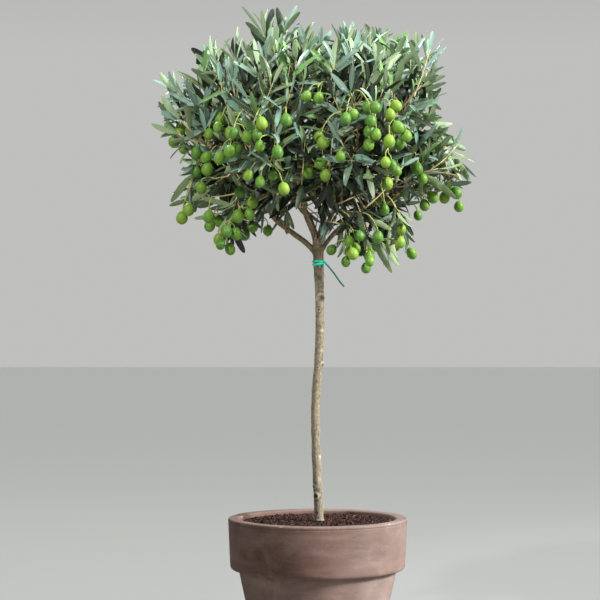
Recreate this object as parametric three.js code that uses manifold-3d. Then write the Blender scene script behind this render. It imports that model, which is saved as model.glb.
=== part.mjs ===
// Potted olive tree: a young standard olive with a round, loose head, in a banded clay pot.
// Millimetres, +Z up, +X to the viewer's right, -Y towards the viewer.
// The origin is the centre of the pot's flat underside.

import * as THREE from 'three';
import { mergeVertices } from 'three/addons/utils/BufferGeometryUtils.js';
import { ImprovedNoise } from 'three/addons/math/ImprovedNoise.js';
import Module from 'manifold-3d';

const wasm = await Module();
wasm.setup();

// ---------------------------------------------------------------- driving dimensions

const GAP = 0.3; // clearance left between two pieces that touch

const POT = {
  height: 235,
  footRadius: 85,
  shoulderRadius: 118.5, // outside of the body where it runs in under the rim band
  bandHeight: 76.5,
  bandLowRadius: 130.6,
  bandCorner: 7, // rounding of the band's lower edge
  rimRadius: 134.8,
  lipRound: 4, // rounding of the rim's two upper edges
  mouthRadius: 115.9,
  floorRadius: 74, // inside
  floorThickness: 16,
  drainRadius: 12,
  sides: 40,
};

const SOIL = {
  top: 230, // height of the small flat spot that the trunk stands on
  edge: 229, // height along the pot's wall
  flatRadius: 16,
  domeSteps: 4,
};

const TRUNK = {
  foot: SOIL.top + GAP,
  fork: 640,
  radius: 6.9,
  taper: 0.5, // radius lost from foot to fork
  flare: 1.7, // radius added at the very foot
  flareHeight: 9,
  swell: 1.7, // radius added where the stem widens under the fork
  swellHeight: 26,
  sides: 12,
  steps: 18,
  sway: [2.7, -0.2, -2.6, -3.5, 1.2, 3.2, 2.6, 0.5], // sideways, at even heights from foot to fork
};

// Two turns of a soft tube round the stem, with one loose end.
const TIE = { height: 614, pitch: 4.8, width: 4.2, depth: 2.2, slack: 0.4, sides: 6, turnSteps: 18 };

// The loose end, as [x, y, drop below the upper turn].
const TAIL = {
  radius: 1.3,
  sides: 6,
  steps: 10,
  route: [[8.4, -6.4, -1], [17, -13, 9], [25, -17, 19], [33, -19, 31], [40.4, -20, 39]],
};

const LIMB = { sides: 7, steps: 10 };

// Each bough leaves the fork and runs, through the [x, y, z] of its route, to where the leaves hide it.
const BOUGHS = {
  left: {
    radius: [4.7, 2.9],
    route: [
      [-1, -1, 632], [-15, -4, 645], [-40, -10, 663], [-64, -14, 681], [-78, -18, 706], [-92, -22, 735],
    ],
  },
  front: {
    radius: [4.4, 3.1],
    route: [[-1, -2, 634], [-6, -12, 660], [-17, -28, 684], [-23, -42, 706], [-22, -56, 750]],
  },
  middle: {
    radius: [5, 3.6],
    route: [[1, 0, 634], [4, -1, 658], [9, -3, 682], [11, -3, 702], [8, 0, 775]],
  },
  right: {
    radius: [3.8, 2.4],
    route: [[3, -1, 634], [17, 4, 652], [31, 11, 668], [60, 16, 692], [84, 14, 711], [128, 4, 738]],
  },
  back_left: {
    radius: [3.8, 2.8],
    route: [[0, 3, 633], [-1, 15, 656], [-14, 36, 690], [-38, 60, 724], [-66, 82, 762]],
  },
  back_right: {
    radius: [3.8, 2.8],
    route: [[2, 3, 633], [7, 17, 654], [21, 41, 690], [40, 66, 724], [60, 88, 764]],
  },
};

// The head is rings of foliage round the stem's line, with masses of their own at its crest, sides and foot.
const HEAD = {
  detail: 2,
  unevenness: 0.24,
  grain: 1.8, // how many lumps go round a mass
  stride: new THREE.Vector3(3.7, -5.3, 7.1), // from one mass's noise to the next one's
};

const SIDES = ['right', 'back_right', 'back_left', 'left', 'front_left', 'front_right'];

const RINGS = {
  upper: { x: -14, height: 874, reach: 114, size: [84, 102, 76] },
  middle: { x: -2, height: 786, reach: 122, size: [84, 108, 80] },
};

const MASSES = {
  crest_left: { at: [-58, -4, 928], size: [82, 88, 60] },
  crest_right: { at: [64, 6, 908], size: [82, 88, 66] },
  shoulder_right: { at: [138, -4, 914], size: [44, 64, 46] },
  heart: { at: [0, 0, 822], size: [96, 96, 92] },
  outer_left: { at: [-182, 4, 846], size: [54, 80, 62] },
  outer_right: { at: [170, -6, 754], size: [60, 72, 52] },
  hanging_left: { at: [-130, -56, 682], size: [50, 66, 60] },
  hanging_right: { at: [76, -54, 657], size: [60, 64, 64] },
  hanging_back_left: { at: [-122, 84, 696], size: [58, 64, 54] },
  hanging_back_right: { at: [94, 92, 688], size: [60, 64, 58] },
  tuft_left: { at: [-178, -40, 714], size: [38, 46, 26] },
};

// ---------------------------------------------------------------- colours

const paint = (color, roughness) => new THREE.MeshStandardMaterial({ color, roughness, metalness: 0 });

const CLAY = paint(0x8a6a5c, 0.85);
const EARTH = paint(0x523931, 1);
const BARK = paint(0x93897a, 0.9);
const LEAVES = paint(0x6e8362, 0.6);
const GREEN_TIE = paint(0x31927e, 0.4);

// ---------------------------------------------------------------- helpers

// A closed geometry whose faces share their vertices.
function shell(geometry) {
  geometry.deleteAttribute('normal');
  geometry.deleteAttribute('uv');
  return mergeVertices(geometry, 1e-4);
}

function toSolid(geometry) {
  return new wasm.Manifold(new wasm.Mesh({
    numProp: 3,
    vertProperties: Float32Array.from(geometry.attributes.position.array),
    triVerts: Uint32Array.from(geometry.index.array),
  }));
}

function toGeometry(solid) {
  const mesh = solid.getMesh();
  const geometry = new THREE.BufferGeometry();
  geometry.setAttribute('position', new THREE.BufferAttribute(mesh.vertProperties, 3));
  geometry.setIndex(new THREE.BufferAttribute(mesh.triVerts, 1));
  return geometry;
}

// What is left of a solid when its neighbours are taken out of it: the largest piece.
function clearOf(solid, neighbours) {
  const rest = neighbours.reduce((body, neighbour) => body.subtract(neighbour), solid);
  return rest.decompose().sort((a, b) => b.volume() - a.volume())[0];
}

function named(name, geometry, material) {
  const mesh = new THREE.Mesh(geometry, material);
  mesh.name = name;
  return mesh;
}

// Moves each vertex of a closed geometry by a function of its place.
function reshape(geometry, move) {
  const place = geometry.attributes.position;
  const point = new THREE.Vector3();
  for (let i = 0; i < place.count; i++) {
    move(point.fromBufferAttribute(place, i));
    place.setXYZ(i, point.x, point.y, point.z);
  }
  return geometry;
}

// A profile in radius and height, turned about the Z axis.
function turned(profile, sides) {
  return shell(new THREE.LatheGeometry(profile, sides).rotateX(Math.PI / 2));
}

// A closed tapering tube along a curve, with both ends cut square.
function taperedTube(curve, radiusAt, sides, steps) {
  const frames = curve.computeFrenetFrames(steps, false);
  return reshape(shell(new THREE.CylinderGeometry(1, 1, 1, sides, steps)), (point) => {
    const along = point.y + 0.5;
    const step = Math.round(along * steps);
    const radius = radiusAt(along);
    const { x, z } = point;
    point.copy(curve.getPointAt(along))
      .addScaledVector(frames.normals[step], x * radius)
      .addScaledVector(frames.binormals[step], -z * radius);
  });
}

// ---------------------------------------------------------------- pot and soil

function potProfile() {
  const { height, footRadius, shoulderRadius, bandHeight, bandLowRadius, bandCorner } = POT;
  const { rimRadius, lipRound, mouthRadius, floorRadius, floorThickness, drainRadius } = POT;
  const bandFoot = height - bandHeight;
  const path = new THREE.Path();
  path.moveTo(drainRadius, 0);
  path.lineTo(footRadius, 0);
  path.lineTo(shoulderRadius, bandFoot);
  path.lineTo(bandLowRadius - bandCorner, bandFoot);
  path.quadraticCurveTo(bandLowRadius, bandFoot, bandLowRadius, bandFoot + bandCorner);
  path.lineTo(rimRadius, height - lipRound);
  path.quadraticCurveTo(rimRadius, height, rimRadius - lipRound, height);
  path.lineTo(mouthRadius + lipRound, height);
  path.quadraticCurveTo(mouthRadius, height, mouthRadius, height - lipRound);
  path.lineTo(floorRadius, floorThickness);
  path.lineTo(drainRadius, floorThickness);
  path.lineTo(drainRadius, 0);
  return path.getPoints(3);
}

// Inside radius of the pot at a height.
function wallRadius(height) {
  const rise = (height - POT.floorThickness) / (POT.height - POT.lipRound - POT.floorThickness);
  return POT.floorRadius + (POT.mouthRadius - POT.floorRadius) * rise;
}

function soilProfile() {
  const base = POT.floorThickness + GAP;
  const brim = wallRadius(SOIL.edge) - 2 * GAP;
  const profile = [
    new THREE.Vector2(0, base),
    new THREE.Vector2(wallRadius(base) - 2 * GAP, base),
  ];
  for (let i = 0; i <= SOIL.domeSteps; i++) {
    const inward = i / SOIL.domeSteps;
    const dome = Math.sin((inward * Math.PI) / 2);
    profile.push(new THREE.Vector2(
      brim + (SOIL.flatRadius - brim) * inward,
      SOIL.edge + (SOIL.top - SOIL.edge) * dome,
    ));
  }
  profile.push(new THREE.Vector2(0, SOIL.top));
  return profile;
}

// ---------------------------------------------------------------- trunk, tie and boughs

const trunkLine = new THREE.CatmullRomCurve3(TRUNK.sway.map((offset, i) => new THREE.Vector3(
  offset, 0, TRUNK.foot + ((TRUNK.fork - TRUNK.foot) * i) / (TRUNK.sway.length - 1),
)));

function trunkRadius(height) {
  const { foot, fork, radius, taper, flare, flareHeight, swell, swellHeight } = TRUNK;
  return radius - (taper * (height - foot)) / (fork - foot)
    + flare * Math.exp(-(height - foot) / flareHeight)
    + swell * Math.exp(-(((fork - height) / swellHeight) ** 2));
}

// The stem's rings are level, so that its foot is a level cut.
function trunkShape(extra = 0) {
  const { sides, steps } = TRUNK;
  return reshape(shell(new THREE.CylinderGeometry(1, 1, 1, sides, steps)), (point) => {
    const centre = trunkLine.getPoint(point.y + 0.5);
    const radius = trunkRadius(centre.z) + extra;
    const lift = point.y === 0.5 ? extra : 0;
    point.set(centre.x + point.x * radius, -point.z * radius, centre.z + lift);
  });
}

// The tie is a flat strip, so its round section is squeezed to its depth and its width.
function tieLoop(height, extra = 0) {
  const centre = trunkLine.getPoint((height - TRUNK.foot) / (TRUNK.fork - TRUNK.foot));
  const { pitch, width, depth, slack, sides, turnSteps } = TIE;
  const radius = trunkRadius(height + pitch) + depth / 2 + slack;
  return reshape(shell(new THREE.TorusGeometry(radius, 1, sides, turnSteps)), (point) => {
    const out = Math.hypot(point.x, point.y);
    const grown = radius + (out - radius) * (depth / 2 + extra);
    point.set(
      centre.x + (point.x * grown) / out,
      (point.y * grown) / out,
      height + point.z * (width / 2 + extra),
    );
  });
}

function tailShape(extra = 0) {
  const start = TIE.height + TIE.pitch;
  const points = TAIL.route.map(([x, y, drop]) => new THREE.Vector3(x, y, start - drop));
  return taperedTube(new THREE.CatmullRomCurve3(points), () => TAIL.radius + extra, TAIL.sides, TAIL.steps);
}

function boughShape({ route, radius: [first, last] }, extra = 0) {
  const curve = new THREE.CatmullRomCurve3(route.map((place) => new THREE.Vector3(...place)));
  return taperedTube(curve, (along) => first + (last - first) * along + extra, LIMB.sides, LIMB.steps);
}

// ---------------------------------------------------------------- foliage

const noise = new ImprovedNoise();

// A lumpy closed blob: the surface of a ball swollen and dented by smooth noise.
function massShape({ at, size }, seed, extra = 0) {
  return reshape(shell(new THREE.IcosahedronGeometry(1, HEAD.detail)), (point) => {
    const probe = point.normalize().clone().multiplyScalar(HEAD.grain).addScaledVector(HEAD.stride, seed);
    const swell = 1 + HEAD.unevenness * noise.noise(probe.x, probe.y, probe.z);
    point.set(
      at[0] + point.x * (size[0] * swell + extra),
      at[1] + point.y * (size[1] * swell + extra),
      at[2] + point.z * (size[2] * swell + extra),
    );
  });
}

// The masses of one ring, spread evenly and named for the side they are on.
function ringMasses([ring, { x, height, reach, size }]) {
  return SIDES.map((side, i) => {
    const angle = (i / SIDES.length) * 2 * Math.PI;
    return [`${ring}_${side}`, { at: [x + reach * Math.cos(angle), reach * Math.sin(angle), height], size }];
  });
}

// Each mass as its solid, and as the slightly larger space that limbs stay out of.
function foliage() {
  const all = [...Object.entries(MASSES), ...Object.entries(RINGS).flatMap(ringMasses)];
  return all.map(([name, mass], seed) => ({
    name,
    centre: new THREE.Vector3(...mass.at),
    size: new THREE.Vector3(...mass.size),
    solid: toSolid(massShape(mass, seed)),
    clearance: toSolid(massShape(mass, seed, 2 * GAP)),
  }));
}

// Where two masses overlap, a flat cut between them shares out the space and leaves a gap.
function share(one, other) {
  if (one.solid.intersect(other.solid).isEmpty()) return;
  const way = other.centre.clone().sub(one.centre);
  const apart = way.length();
  way.normalize();
  const reach = [one, other].map(({ size }) => 1 / way.clone().divide(size).length());
  const cut = one.centre.dot(way) + (apart * apart + reach[0] ** 2 - reach[1] ** 2) / (2 * apart);
  for (const [mass, side] of [[one, -1], [other, 1]]) {
    const normal = way.clone().multiplyScalar(side).toArray();
    mass.solid = mass.solid.trimByPlane(normal, side * cut + GAP);
    mass.clearance = mass.clearance.trimByPlane(normal, side * cut);
  }
}

// ---------------------------------------------------------------- assembly

const group = new THREE.Group();

group.add(named('pot', turned(potProfile(), POT.sides), CLAY));
group.add(named('soil', turned(soilProfile(), POT.sides), EARTH));

group.add(named('trunk', trunkShape(), BARK));
const taken = [toSolid(trunkShape(GAP))];

[TIE.height, TIE.height + TIE.pitch].forEach((height, i) => {
  group.add(named(`tie_loop_${i + 1}`, tieLoop(height), GREEN_TIE));
  taken.push(toSolid(tieLoop(height, GAP)));
});

const tail = clearOf(toSolid(tailShape()), taken);
group.add(named('tie_tail', toGeometry(tail), GREEN_TIE));
taken.push(toSolid(tailShape(GAP)));

const masses = foliage();
masses.forEach((mass, i) => masses.slice(i + 1).forEach((other) => share(mass, other)));
for (const { name, solid, clearance } of masses) {
  group.add(named(`foliage_${name}`, toGeometry(clearOf(solid, taken)), LEAVES));
  taken.push(clearance);
}

for (const [name, bough] of Object.entries(BOUGHS)) {
  const solid = clearOf(toSolid(boughShape(bough)), taken);
  group.add(named(`bough_${name}`, toGeometry(solid), BARK));
  taken.push(toSolid(boughShape(bough, GAP)));
}

export default group;
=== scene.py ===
"""The looks of a potted olive tree: a young standard olive in a banded clay pot.

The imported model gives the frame, and every piece here is built round it, in metres.
"""

import functools
import math

import bmesh
import bpy
import numpy as np
from bpy.props import FloatProperty, FloatVectorProperty, IntProperty, PointerProperty
from mathutils import Matrix, Vector, noise
from mathutils.bvhtree import BVHTree
from mathutils.kdtree import KDTree


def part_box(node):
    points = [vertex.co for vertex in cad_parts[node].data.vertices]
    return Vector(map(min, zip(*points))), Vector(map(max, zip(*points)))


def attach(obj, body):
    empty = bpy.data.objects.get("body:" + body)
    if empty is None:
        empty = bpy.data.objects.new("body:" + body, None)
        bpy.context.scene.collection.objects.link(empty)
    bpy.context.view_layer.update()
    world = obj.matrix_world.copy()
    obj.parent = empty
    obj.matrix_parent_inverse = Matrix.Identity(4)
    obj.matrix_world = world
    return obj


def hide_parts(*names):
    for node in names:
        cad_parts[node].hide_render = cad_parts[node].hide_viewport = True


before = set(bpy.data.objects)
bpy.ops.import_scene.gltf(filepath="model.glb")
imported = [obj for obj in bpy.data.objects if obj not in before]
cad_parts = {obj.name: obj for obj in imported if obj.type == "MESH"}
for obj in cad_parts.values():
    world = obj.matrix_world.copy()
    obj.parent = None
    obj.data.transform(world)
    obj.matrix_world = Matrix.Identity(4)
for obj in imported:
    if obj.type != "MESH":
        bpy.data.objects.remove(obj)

bl_info = {
    "name": "Potted Olive Tree",
    "version": (1, 0, 0),
    "blender": (4, 5, 0),
    "location": "3D View > Sidebar > Olive Tree",
    "description": "Builds a young standard olive in a banded clay pot, round its packed frame",
    "category": "Add Mesh",
}

MM = 0.001
UP = Vector((0, 0, 1))
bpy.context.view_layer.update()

POT_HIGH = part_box("pot")[1]
SOIL_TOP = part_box("soil")[1].z
STEM_LOW, STEM_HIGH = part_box("trunk")

LIMB_NODES = sorted(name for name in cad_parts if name.startswith("bough_"))
MASS_NODES = sorted(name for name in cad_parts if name.startswith("foliage_"))
CROWN_LOW = min(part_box(name)[0].z for name in MASS_NODES)
CROWN_HIGH = max(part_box(name)[1].z for name in MASS_NODES)
CROWN_DEPTH = CROWN_HIGH - CROWN_LOW


# ------------------------------------------------------------------ settings


def length(name, description, value, low=0.0):
    return FloatProperty(
        name=name, description=description, default=value, min=low, unit="LENGTH", precision=4
    )


def brightness(name, description, value, unit="NONE"):
    return FloatProperty(name=name, description=description, default=value, min=0, unit=unit)


def amount(name, description, value):
    return IntProperty(name=name, description=description, default=value, min=0)


def colour(name, description, value):
    return FloatVectorProperty(
        name=name, description=description, default=value, size=3, min=0, max=1, subtype="COLOR_GAMMA"
    )


class PotSettings(bpy.types.PropertyGroup):
    """The clay pot and its soil."""

    rim_radius: length("Rim radius", "Outer radius at the very top", POT_HIGH.x)
    height: length("Height", "Height of the pot", POT_HIGH.z)
    band_height: length("Band height", "Height of the thick rim band", 0.3255 * POT_HIGH.z)
    wall: length("Rim thickness", "Thickness of the wall at the rim", 18.9 * MM)
    clay: colour("Clay", "Colour of the bare clay", (0.52, 0.402, 0.357))
    dust: colour("Dust", "Colour of the pale dusty patches", (0.65, 0.57, 0.52))
    # The stain colour is also the base of the painted shade on the pot's shady side.
    stain_and_shade: colour("Stain", "Colour of the dark damp patches", (0.36, 0.268, 0.235))
    soil: colour("Soil", "Colour of the potting soil", (0.25, 0.168, 0.142))
    crumbs: amount("Crumbs", "Number of loose crumbs of soil", 2200)


class StemSettings(bpy.types.PropertyGroup):
    """The bare stem, the boughs and the tie."""

    relief: length("Bark relief", "Depth of the bark's furrows", 0.35 * MM)
    grain: length("Grain", "Size of the mesh that carries the relief", 0.85 * MM, 0.4 * MM)
    bark: colour("Bark", "Main colour of the bark", (0.475, 0.43, 0.35))
    bark_pale: colour("Pale bark", "Colour of the paler bark near the foot", (0.57, 0.53, 0.45))
    bark_young: colour("Young bark", "Colour of the boughs' bark", (0.565, 0.485, 0.36))
    bark_dark: colour("Dark bark", "Colour of the furrows and knots", (0.24, 0.185, 0.15))
    tie: colour("Tie", "Colour of the garden tie", (0.18, 0.88, 0.76))


class CrownSettings(bpy.types.PropertyGroup):
    """Branches, twigs and leaves."""

    seed: amount("Seed", "Seed of the branching", 19)
    shoot_gap: length("Shoot spacing", "Distance between shoots at the crown's skin", 26.5 * MM, 10 * MM)
    inner_gap: length("Inner spacing", "Distance between shoots inside the crown", 50 * MM, 10 * MM)
    leaf_length: length("Leaf length", "Length of a full-grown leaf", 53 * MM)
    leaf_width: length("Leaf width", "Width of a full-grown leaf", 9.8 * MM)
    twig_young: colour("Young twigs", "Colour of this year's shoots", (0.80, 0.74, 0.53))
    twig_old: colour("Older twigs", "Colour of the woody twigs", (0.55, 0.47, 0.36))


class FruitSettings(bpy.types.PropertyGroup):
    """The olives."""

    length: length("Olive length", "Length of a full-sized olive", 18.2 * MM)
    width: length("Olive width", "Width of a full-sized olive", 16.2 * MM)
    back_clusters: amount("Clusters behind", "Clusters round the sides and back", 26)


class StageSettings(bpy.types.PropertyGroup):
    """Floor, light and camera."""

    floor: colour("Floor", "Colour of the plain floor", (0.60, 0.60, 0.59))
    distance: length("Camera distance", "From the camera to the stem", 3.06)
    height: length("Camera height", "Height of the level camera", 0.561)
    key: brightness("Key light", "Strength of the soft light from the right", 7.35)
    top: brightness("Top light", "Power of the light above", 45, "POWER")
    front: brightness("Crown lights", "Power of the two lights on the crown", 275, "POWER")
    fill: brightness("Surroundings", "Strength of the pale surroundings", 0.80)
    horizon: colour("Horizon", "Colour of the surroundings at eye level", (0.83, 0.83, 0.82))
    zenith: colour("Zenith", "Colour of the surroundings overhead", (0.43, 0.43, 0.42))


# ------------------------------------------------------------------ helpers


def linear(rgb):
    """A colour as shader sockets take it, from the usual display values."""
    return [c / 12.92 if c <= 0.04045 else ((c + 0.055) / 1.055) ** 2.4 for c in rgb] + [1.0]


def piece(name, mesh, materials, replaces=(), smooth=True):
    """Puts a finished mesh into the scene as a piece of the plant."""
    mesh.name = name
    for material in materials:
        mesh.materials.append(material)
    if smooth:
        mesh.polygons.foreach_set("use_smooth", [True] * len(mesh.polygons))
    mesh.update()
    obj = bpy.data.objects.new(name, mesh)
    bpy.context.scene.collection.objects.link(obj)
    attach(obj, "root")
    if replaces:
        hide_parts(*replaces)
    return obj


def mesh_of(bm, name="piece"):
    """The mesh of a finished bmesh, which is freed."""
    mesh = bpy.data.meshes.new(name)
    bm.to_mesh(mesh)
    bm.free()
    return mesh


def joined_mesh(name, points, faces, slots):
    """One mesh from an array of points and arrays of faces, each array with its slot numbers."""
    mesh = bpy.data.meshes.new(name)
    corners = np.concatenate([face.ravel() for face in faces])
    sizes = np.concatenate([np.full(len(face), face.shape[1]) for face in faces])
    mesh.vertices.add(len(points))
    mesh.vertices.foreach_set("co", np.ascontiguousarray(points, np.float32).ravel())
    mesh.loops.add(len(corners))
    mesh.loops.foreach_set("vertex_index", corners.astype(np.int32))
    mesh.polygons.add(len(sizes))
    mesh.polygons.foreach_set("loop_start", np.concatenate([[0], np.cumsum(sizes)[:-1]]).astype(np.int32))
    mesh.polygons.foreach_set("material_index", np.concatenate(slots).astype(np.int32))
    mesh.update(calc_edges=True)
    mesh.validate()
    return mesh


def unit(vectors):
    """Vectors, along the last axis, made one long."""
    return vectors / np.maximum(np.linalg.norm(vectors, axis=-1, keepdims=True), 1e-9)


def smoothstep(low, high, value):
    t = np.clip((value - low) / (high - low), 0, 1)
    return t * t * (3 - 2 * t)


def octaves(place, *scales):
    """Noise at a place, added up over pairs of a scale and a weight."""
    return sum(noise.noise(place * scale) * weight for scale, weight in scales)


def around(turn):
    """The level direction at a turn about the upright axis."""
    return Vector((math.cos(turn), math.sin(turn), 0))


def search_tree(points):
    """A tree that finds the nearest of some points."""
    tree = KDTree(len(points))
    for i, point in enumerate(points):
        tree.insert(point, i)
    tree.balance()
    return tree


def template(create, **shape):
    """The points of a bmesh operator's shape, and its four-sided and three-sided faces."""
    bm = bmesh.new()
    create(bm, **shape)
    points = np.array([vert.co for vert in bm.verts])
    faces = [[vert.index for vert in face.verts] for face in bm.faces]
    bm.free()
    return points, *(np.array([face for face in faces if len(face) == corners]) for corners in (4, 3))


def copied_faces(faces, count, points):
    """The faces of many copies of a shape, whose points follow each other."""
    first = (np.arange(count) * points)[:, None, None]
    return (faces[None] + first).reshape(-1, faces.shape[1])


def carried_frames(line):
    """Two crosswise directions at each point of a line, carried along it without twisting."""
    line = np.asarray(line, float)
    ways = unit(np.gradient(line, axis=0))
    across = np.cross(ways[0], (0.0, 0.0, 1.0) if abs(ways[0][2]) < 0.9 else (1.0, 0.0, 0.0))
    first = []
    for way in ways:
        across = across - way * np.dot(across, way)
        across = across / np.linalg.norm(across)
        first.append(across)
    first = np.array(first)
    return first, np.cross(ways, first), ways


def even_line(points, count):
    """A smooth line through the points, at evenly spaced places."""
    points = np.asarray(points, float)
    for _ in range(3):
        middle = (points[:-1] + points[1:]) / 2
        inner = 0.75 * points[1:-1] + 0.125 * (points[:-2] + points[2:])
        woven = np.empty((len(points) + len(middle), 3))
        woven[0::2] = np.vstack([points[:1], inner, points[-1:]])
        woven[1::2] = middle
        points = woven
    along = np.concatenate([[0], np.cumsum(np.linalg.norm(np.diff(points, axis=0), axis=1))])
    wanted = np.linspace(0, along[-1], count)
    return np.stack([np.interp(wanted, along, points[:, axis]) for axis in range(3)], axis=1)


def limb_line(node, count):
    """The middle line and the radii of a limb, read from its solid."""
    points = np.array([v.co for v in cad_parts[node].data.vertices])
    root = points[np.argmin(points[:, 2])]
    tip = points[np.argmax(points[:, 2])]
    way = unit(tip - root)
    along = (points - root) @ way
    reach = along.max() - along.min()
    line, radii = [], []
    for place in np.linspace(along.min() + 0.04 * reach, along.max() - 0.03 * reach, count):
        weight = np.exp(-(((along - place) / (0.055 * reach)) ** 2))
        centre = weight @ points / weight.sum()
        off = points - centre
        off = off - np.outer(off @ way, way)
        radii.append(weight @ np.linalg.norm(off, axis=1) / weight.sum())
        line.append(centre)
    return np.array(line), np.array(radii)


def sweep(bm, line, radii, sides):
    """Sweeps a round section, or a flat one with two radii, along a line, and closes both ends."""
    first, second, ways = carried_frames(line)
    last = Matrix.Identity(4)
    edges = None
    for point, a, b, way, radius in zip(line, first, second, ways, radii):
        wide, thick = radius if np.ndim(radius) else (radius, radius)
        place = Matrix.Translation(Vector(point)) @ Matrix(
            (Vector(a) * wide, Vector(b) * thick, Vector(way) * wide)
        ).transposed().to_4x4()
        if edges is None:
            ring = bmesh.ops.create_circle(bm, cap_ends=True, segments=sides, radius=1)["verts"]
            edges = list({edge for vert in ring for edge in vert.link_edges})
        else:
            grown = bmesh.ops.extrude_edge_only(bm, edges=edges)["geom"]
            ring = [item for item in grown if isinstance(item, bmesh.types.BMVert)]
            edges = [item for item in grown if isinstance(item, bmesh.types.BMEdge)]
            edges = [edge for edge in edges if all(vert in ring for vert in edge.verts)]
        bmesh.ops.transform(bm, matrix=place @ last.inverted(), verts=ring)
        last = place
    bmesh.ops.contextual_create(bm, geom=edges)
    bmesh.ops.recalc_face_normals(bm, faces=bm.faces)


def rounded(corners, facets):
    """An outline of (radius, height, rounding) corners, with each corner rounded off."""
    outline = []
    for i, (radius, height, rounding) in enumerate(corners):
        here = Vector((radius, height))
        if not rounding:
            outline.append(here)
            continue
        before, after = (Vector(corners[(i + step) % len(corners)][:2]) for step in (-1, 1))
        start = here + (before - here).normalized() * rounding
        end = here + (after - here).normalized() * rounding
        for t in np.linspace(0, 1, facets + 1):
            outline.append(start.lerp(here, t).lerp(here.lerp(end, t), t))
    return outline


def turned(outline, turns, spacing, closed):
    """A bmesh of an outline turned about the upright axis, with points no further apart than the spacing."""
    bm = bmesh.new()
    ring = list(outline) + ([outline[0]] if closed else [])
    points = [ring[0]]
    for start, end in zip(ring, ring[1:]):
        parts = max(1, math.ceil((end - start).length / spacing))
        points += [start.lerp(end, (i + 1) / parts) for i in range(parts)]
    if closed:
        points.pop()
    verts = [bm.verts.new((point.x, 0, point.y)) for point in points]
    pairs = list(zip(verts, verts[1:])) + ([(verts[-1], verts[0])] if closed else [])
    edges = [bm.edges.new(pair) for pair in pairs]
    bmesh.ops.spin(
        bm, geom=verts + edges, cent=(0, 0, 0), axis=(0, 0, 1), angle=2 * math.pi, steps=turns, use_merge=True
    )
    bmesh.ops.remove_doubles(bm, verts=bm.verts, dist=0.01 * MM)
    bmesh.ops.recalc_face_normals(bm, faces=bm.faces)
    return bm


# ------------------------------------------------------------------ materials


class Finish:
    """A material under construction: short calls that add and join its nodes."""

    def __init__(self, name, rgb, roughness, **sockets):
        self.material = bpy.data.materials.new(name)
        self.material.use_nodes = True
        self.tree = self.material.node_tree
        self.surface = self.tree.nodes["Principled BSDF"]
        self.surface.inputs["Base Color"].default_value = linear(rgb)
        self.surface.inputs["Roughness"].default_value = roughness
        for socket, value in sockets.items():
            self.surface.inputs[socket.replace("_", " ")].default_value = value
        self.place = self.tree.nodes.new("ShaderNodeTexCoord").outputs["Object"]

    def node(self, kind, **values):
        made = self.tree.nodes.new("ShaderNode" + kind)
        for name, value in values.items():
            setattr(made, name, value)
        return made

    def join(self, output, target):
        self.tree.links.new(output, target)

    def stretched(self, scale):
        mapping = self.node("Mapping")
        mapping.inputs["Scale"].default_value = scale
        self.join(self.place, mapping.inputs["Vector"])
        return mapping.outputs["Vector"]

    def noise(self, scale, detail=4, roughness=0.55, place=None, distortion=0.0):
        made = self.node("TexNoise")
        for socket, value in (("Scale", scale), ("Detail", detail), ("Roughness", roughness),
                              ("Distortion", distortion)):
            made.inputs[socket].default_value = value
        self.join(place or self.place, made.inputs["Vector"])
        return made.outputs["Fac"]

    def ramp(self, value, *stops):
        """Colours, or greys given as single numbers, at places along a value."""
        made = self.node("ValToRGB")
        band = made.color_ramp
        while len(band.elements) < len(stops):
            band.elements.new(1)
        for element, (place, tone) in zip(band.elements, stops):
            element.position = place
            element.color = (tone, tone, tone, 1) if isinstance(tone, (int, float)) else linear(tone)
        self.join(value, made.inputs["Fac"])
        return made.outputs["Color"]

    def mix(self, factor, one, other, blend="MIX"):
        made = self.node("Mix", data_type="RGBA", blend_type=blend)
        for socket, value in (("Factor", factor), ("A", one), ("B", other)):
            target = next(s for s in made.inputs if s.name == socket and s.enabled)
            if isinstance(value, bpy.types.NodeSocket):
                self.join(value, target)
            elif isinstance(value, (int, float)):
                target.default_value = value
            else:
                target.default_value = linear(value)
        return next(s for s in made.outputs if s.enabled)

    def faint(self, mask, share):
        """A mask weakened to a share of itself."""
        return self.ramp(mask, (0.0, 0.0), (1.0, share))

    def marked(self, name, body, tone):
        """A colour with a tone laid over it where the mesh's own attribute says so."""
        return self.mix(self.node("Attribute", attribute_name=name).outputs["Fac"], body, tone)

    def risen(self, low, high, share=1.0):
        """A value that climbs from 0 to a share between two heights."""
        parts = self.node("SeparateXYZ")
        self.join(self.place, parts.inputs["Vector"])
        made = self.node("MapRange")
        for socket, value in (("From Min", low), ("From Max", high), ("To Max", share)):
            made.inputs[socket].default_value = value
        self.join(parts.outputs["Z"], made.inputs["Value"])
        return made.outputs["Result"]

    def colour(self, output):
        self.join(output, self.surface.inputs["Base Color"])

    def roughness(self, output):
        self.join(output, self.surface.inputs["Roughness"])

    def bump(self, height, depth, strength=1.0):
        made = self.node("Bump")
        made.inputs["Distance"].default_value = depth
        made.inputs["Strength"].default_value = strength
        self.join(height, made.inputs["Height"])
        self.join(made.outputs["Normal"], self.surface.inputs["Normal"])


# Tones that the finishes add to the colours in the settings.
CLAY_BLOOM = (0.47, 0.365, 0.365)
# Painted light: the paler clay tone on the sunny side, on the body below the band and on the rim's top.
CLAY_PAINTED_LIGHT = (0.74, 0.70, 0.67)
CLAY_SPECKS = (0.70, 0.61, 0.55)
CLAY_CHIPPED = (0.84, 0.78, 0.72)
BARK_PATCHES = (0.47, 0.44, 0.315)
BARK_FLECKS = (0.65, 0.61, 0.525)
BARK_SCARS = (0.74, 0.69, 0.59)
BARK_KNOTS = (0.21, 0.13, 0.10)
OLIVE_CHEEKS = (0.62, 0.72, 0.36)
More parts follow.
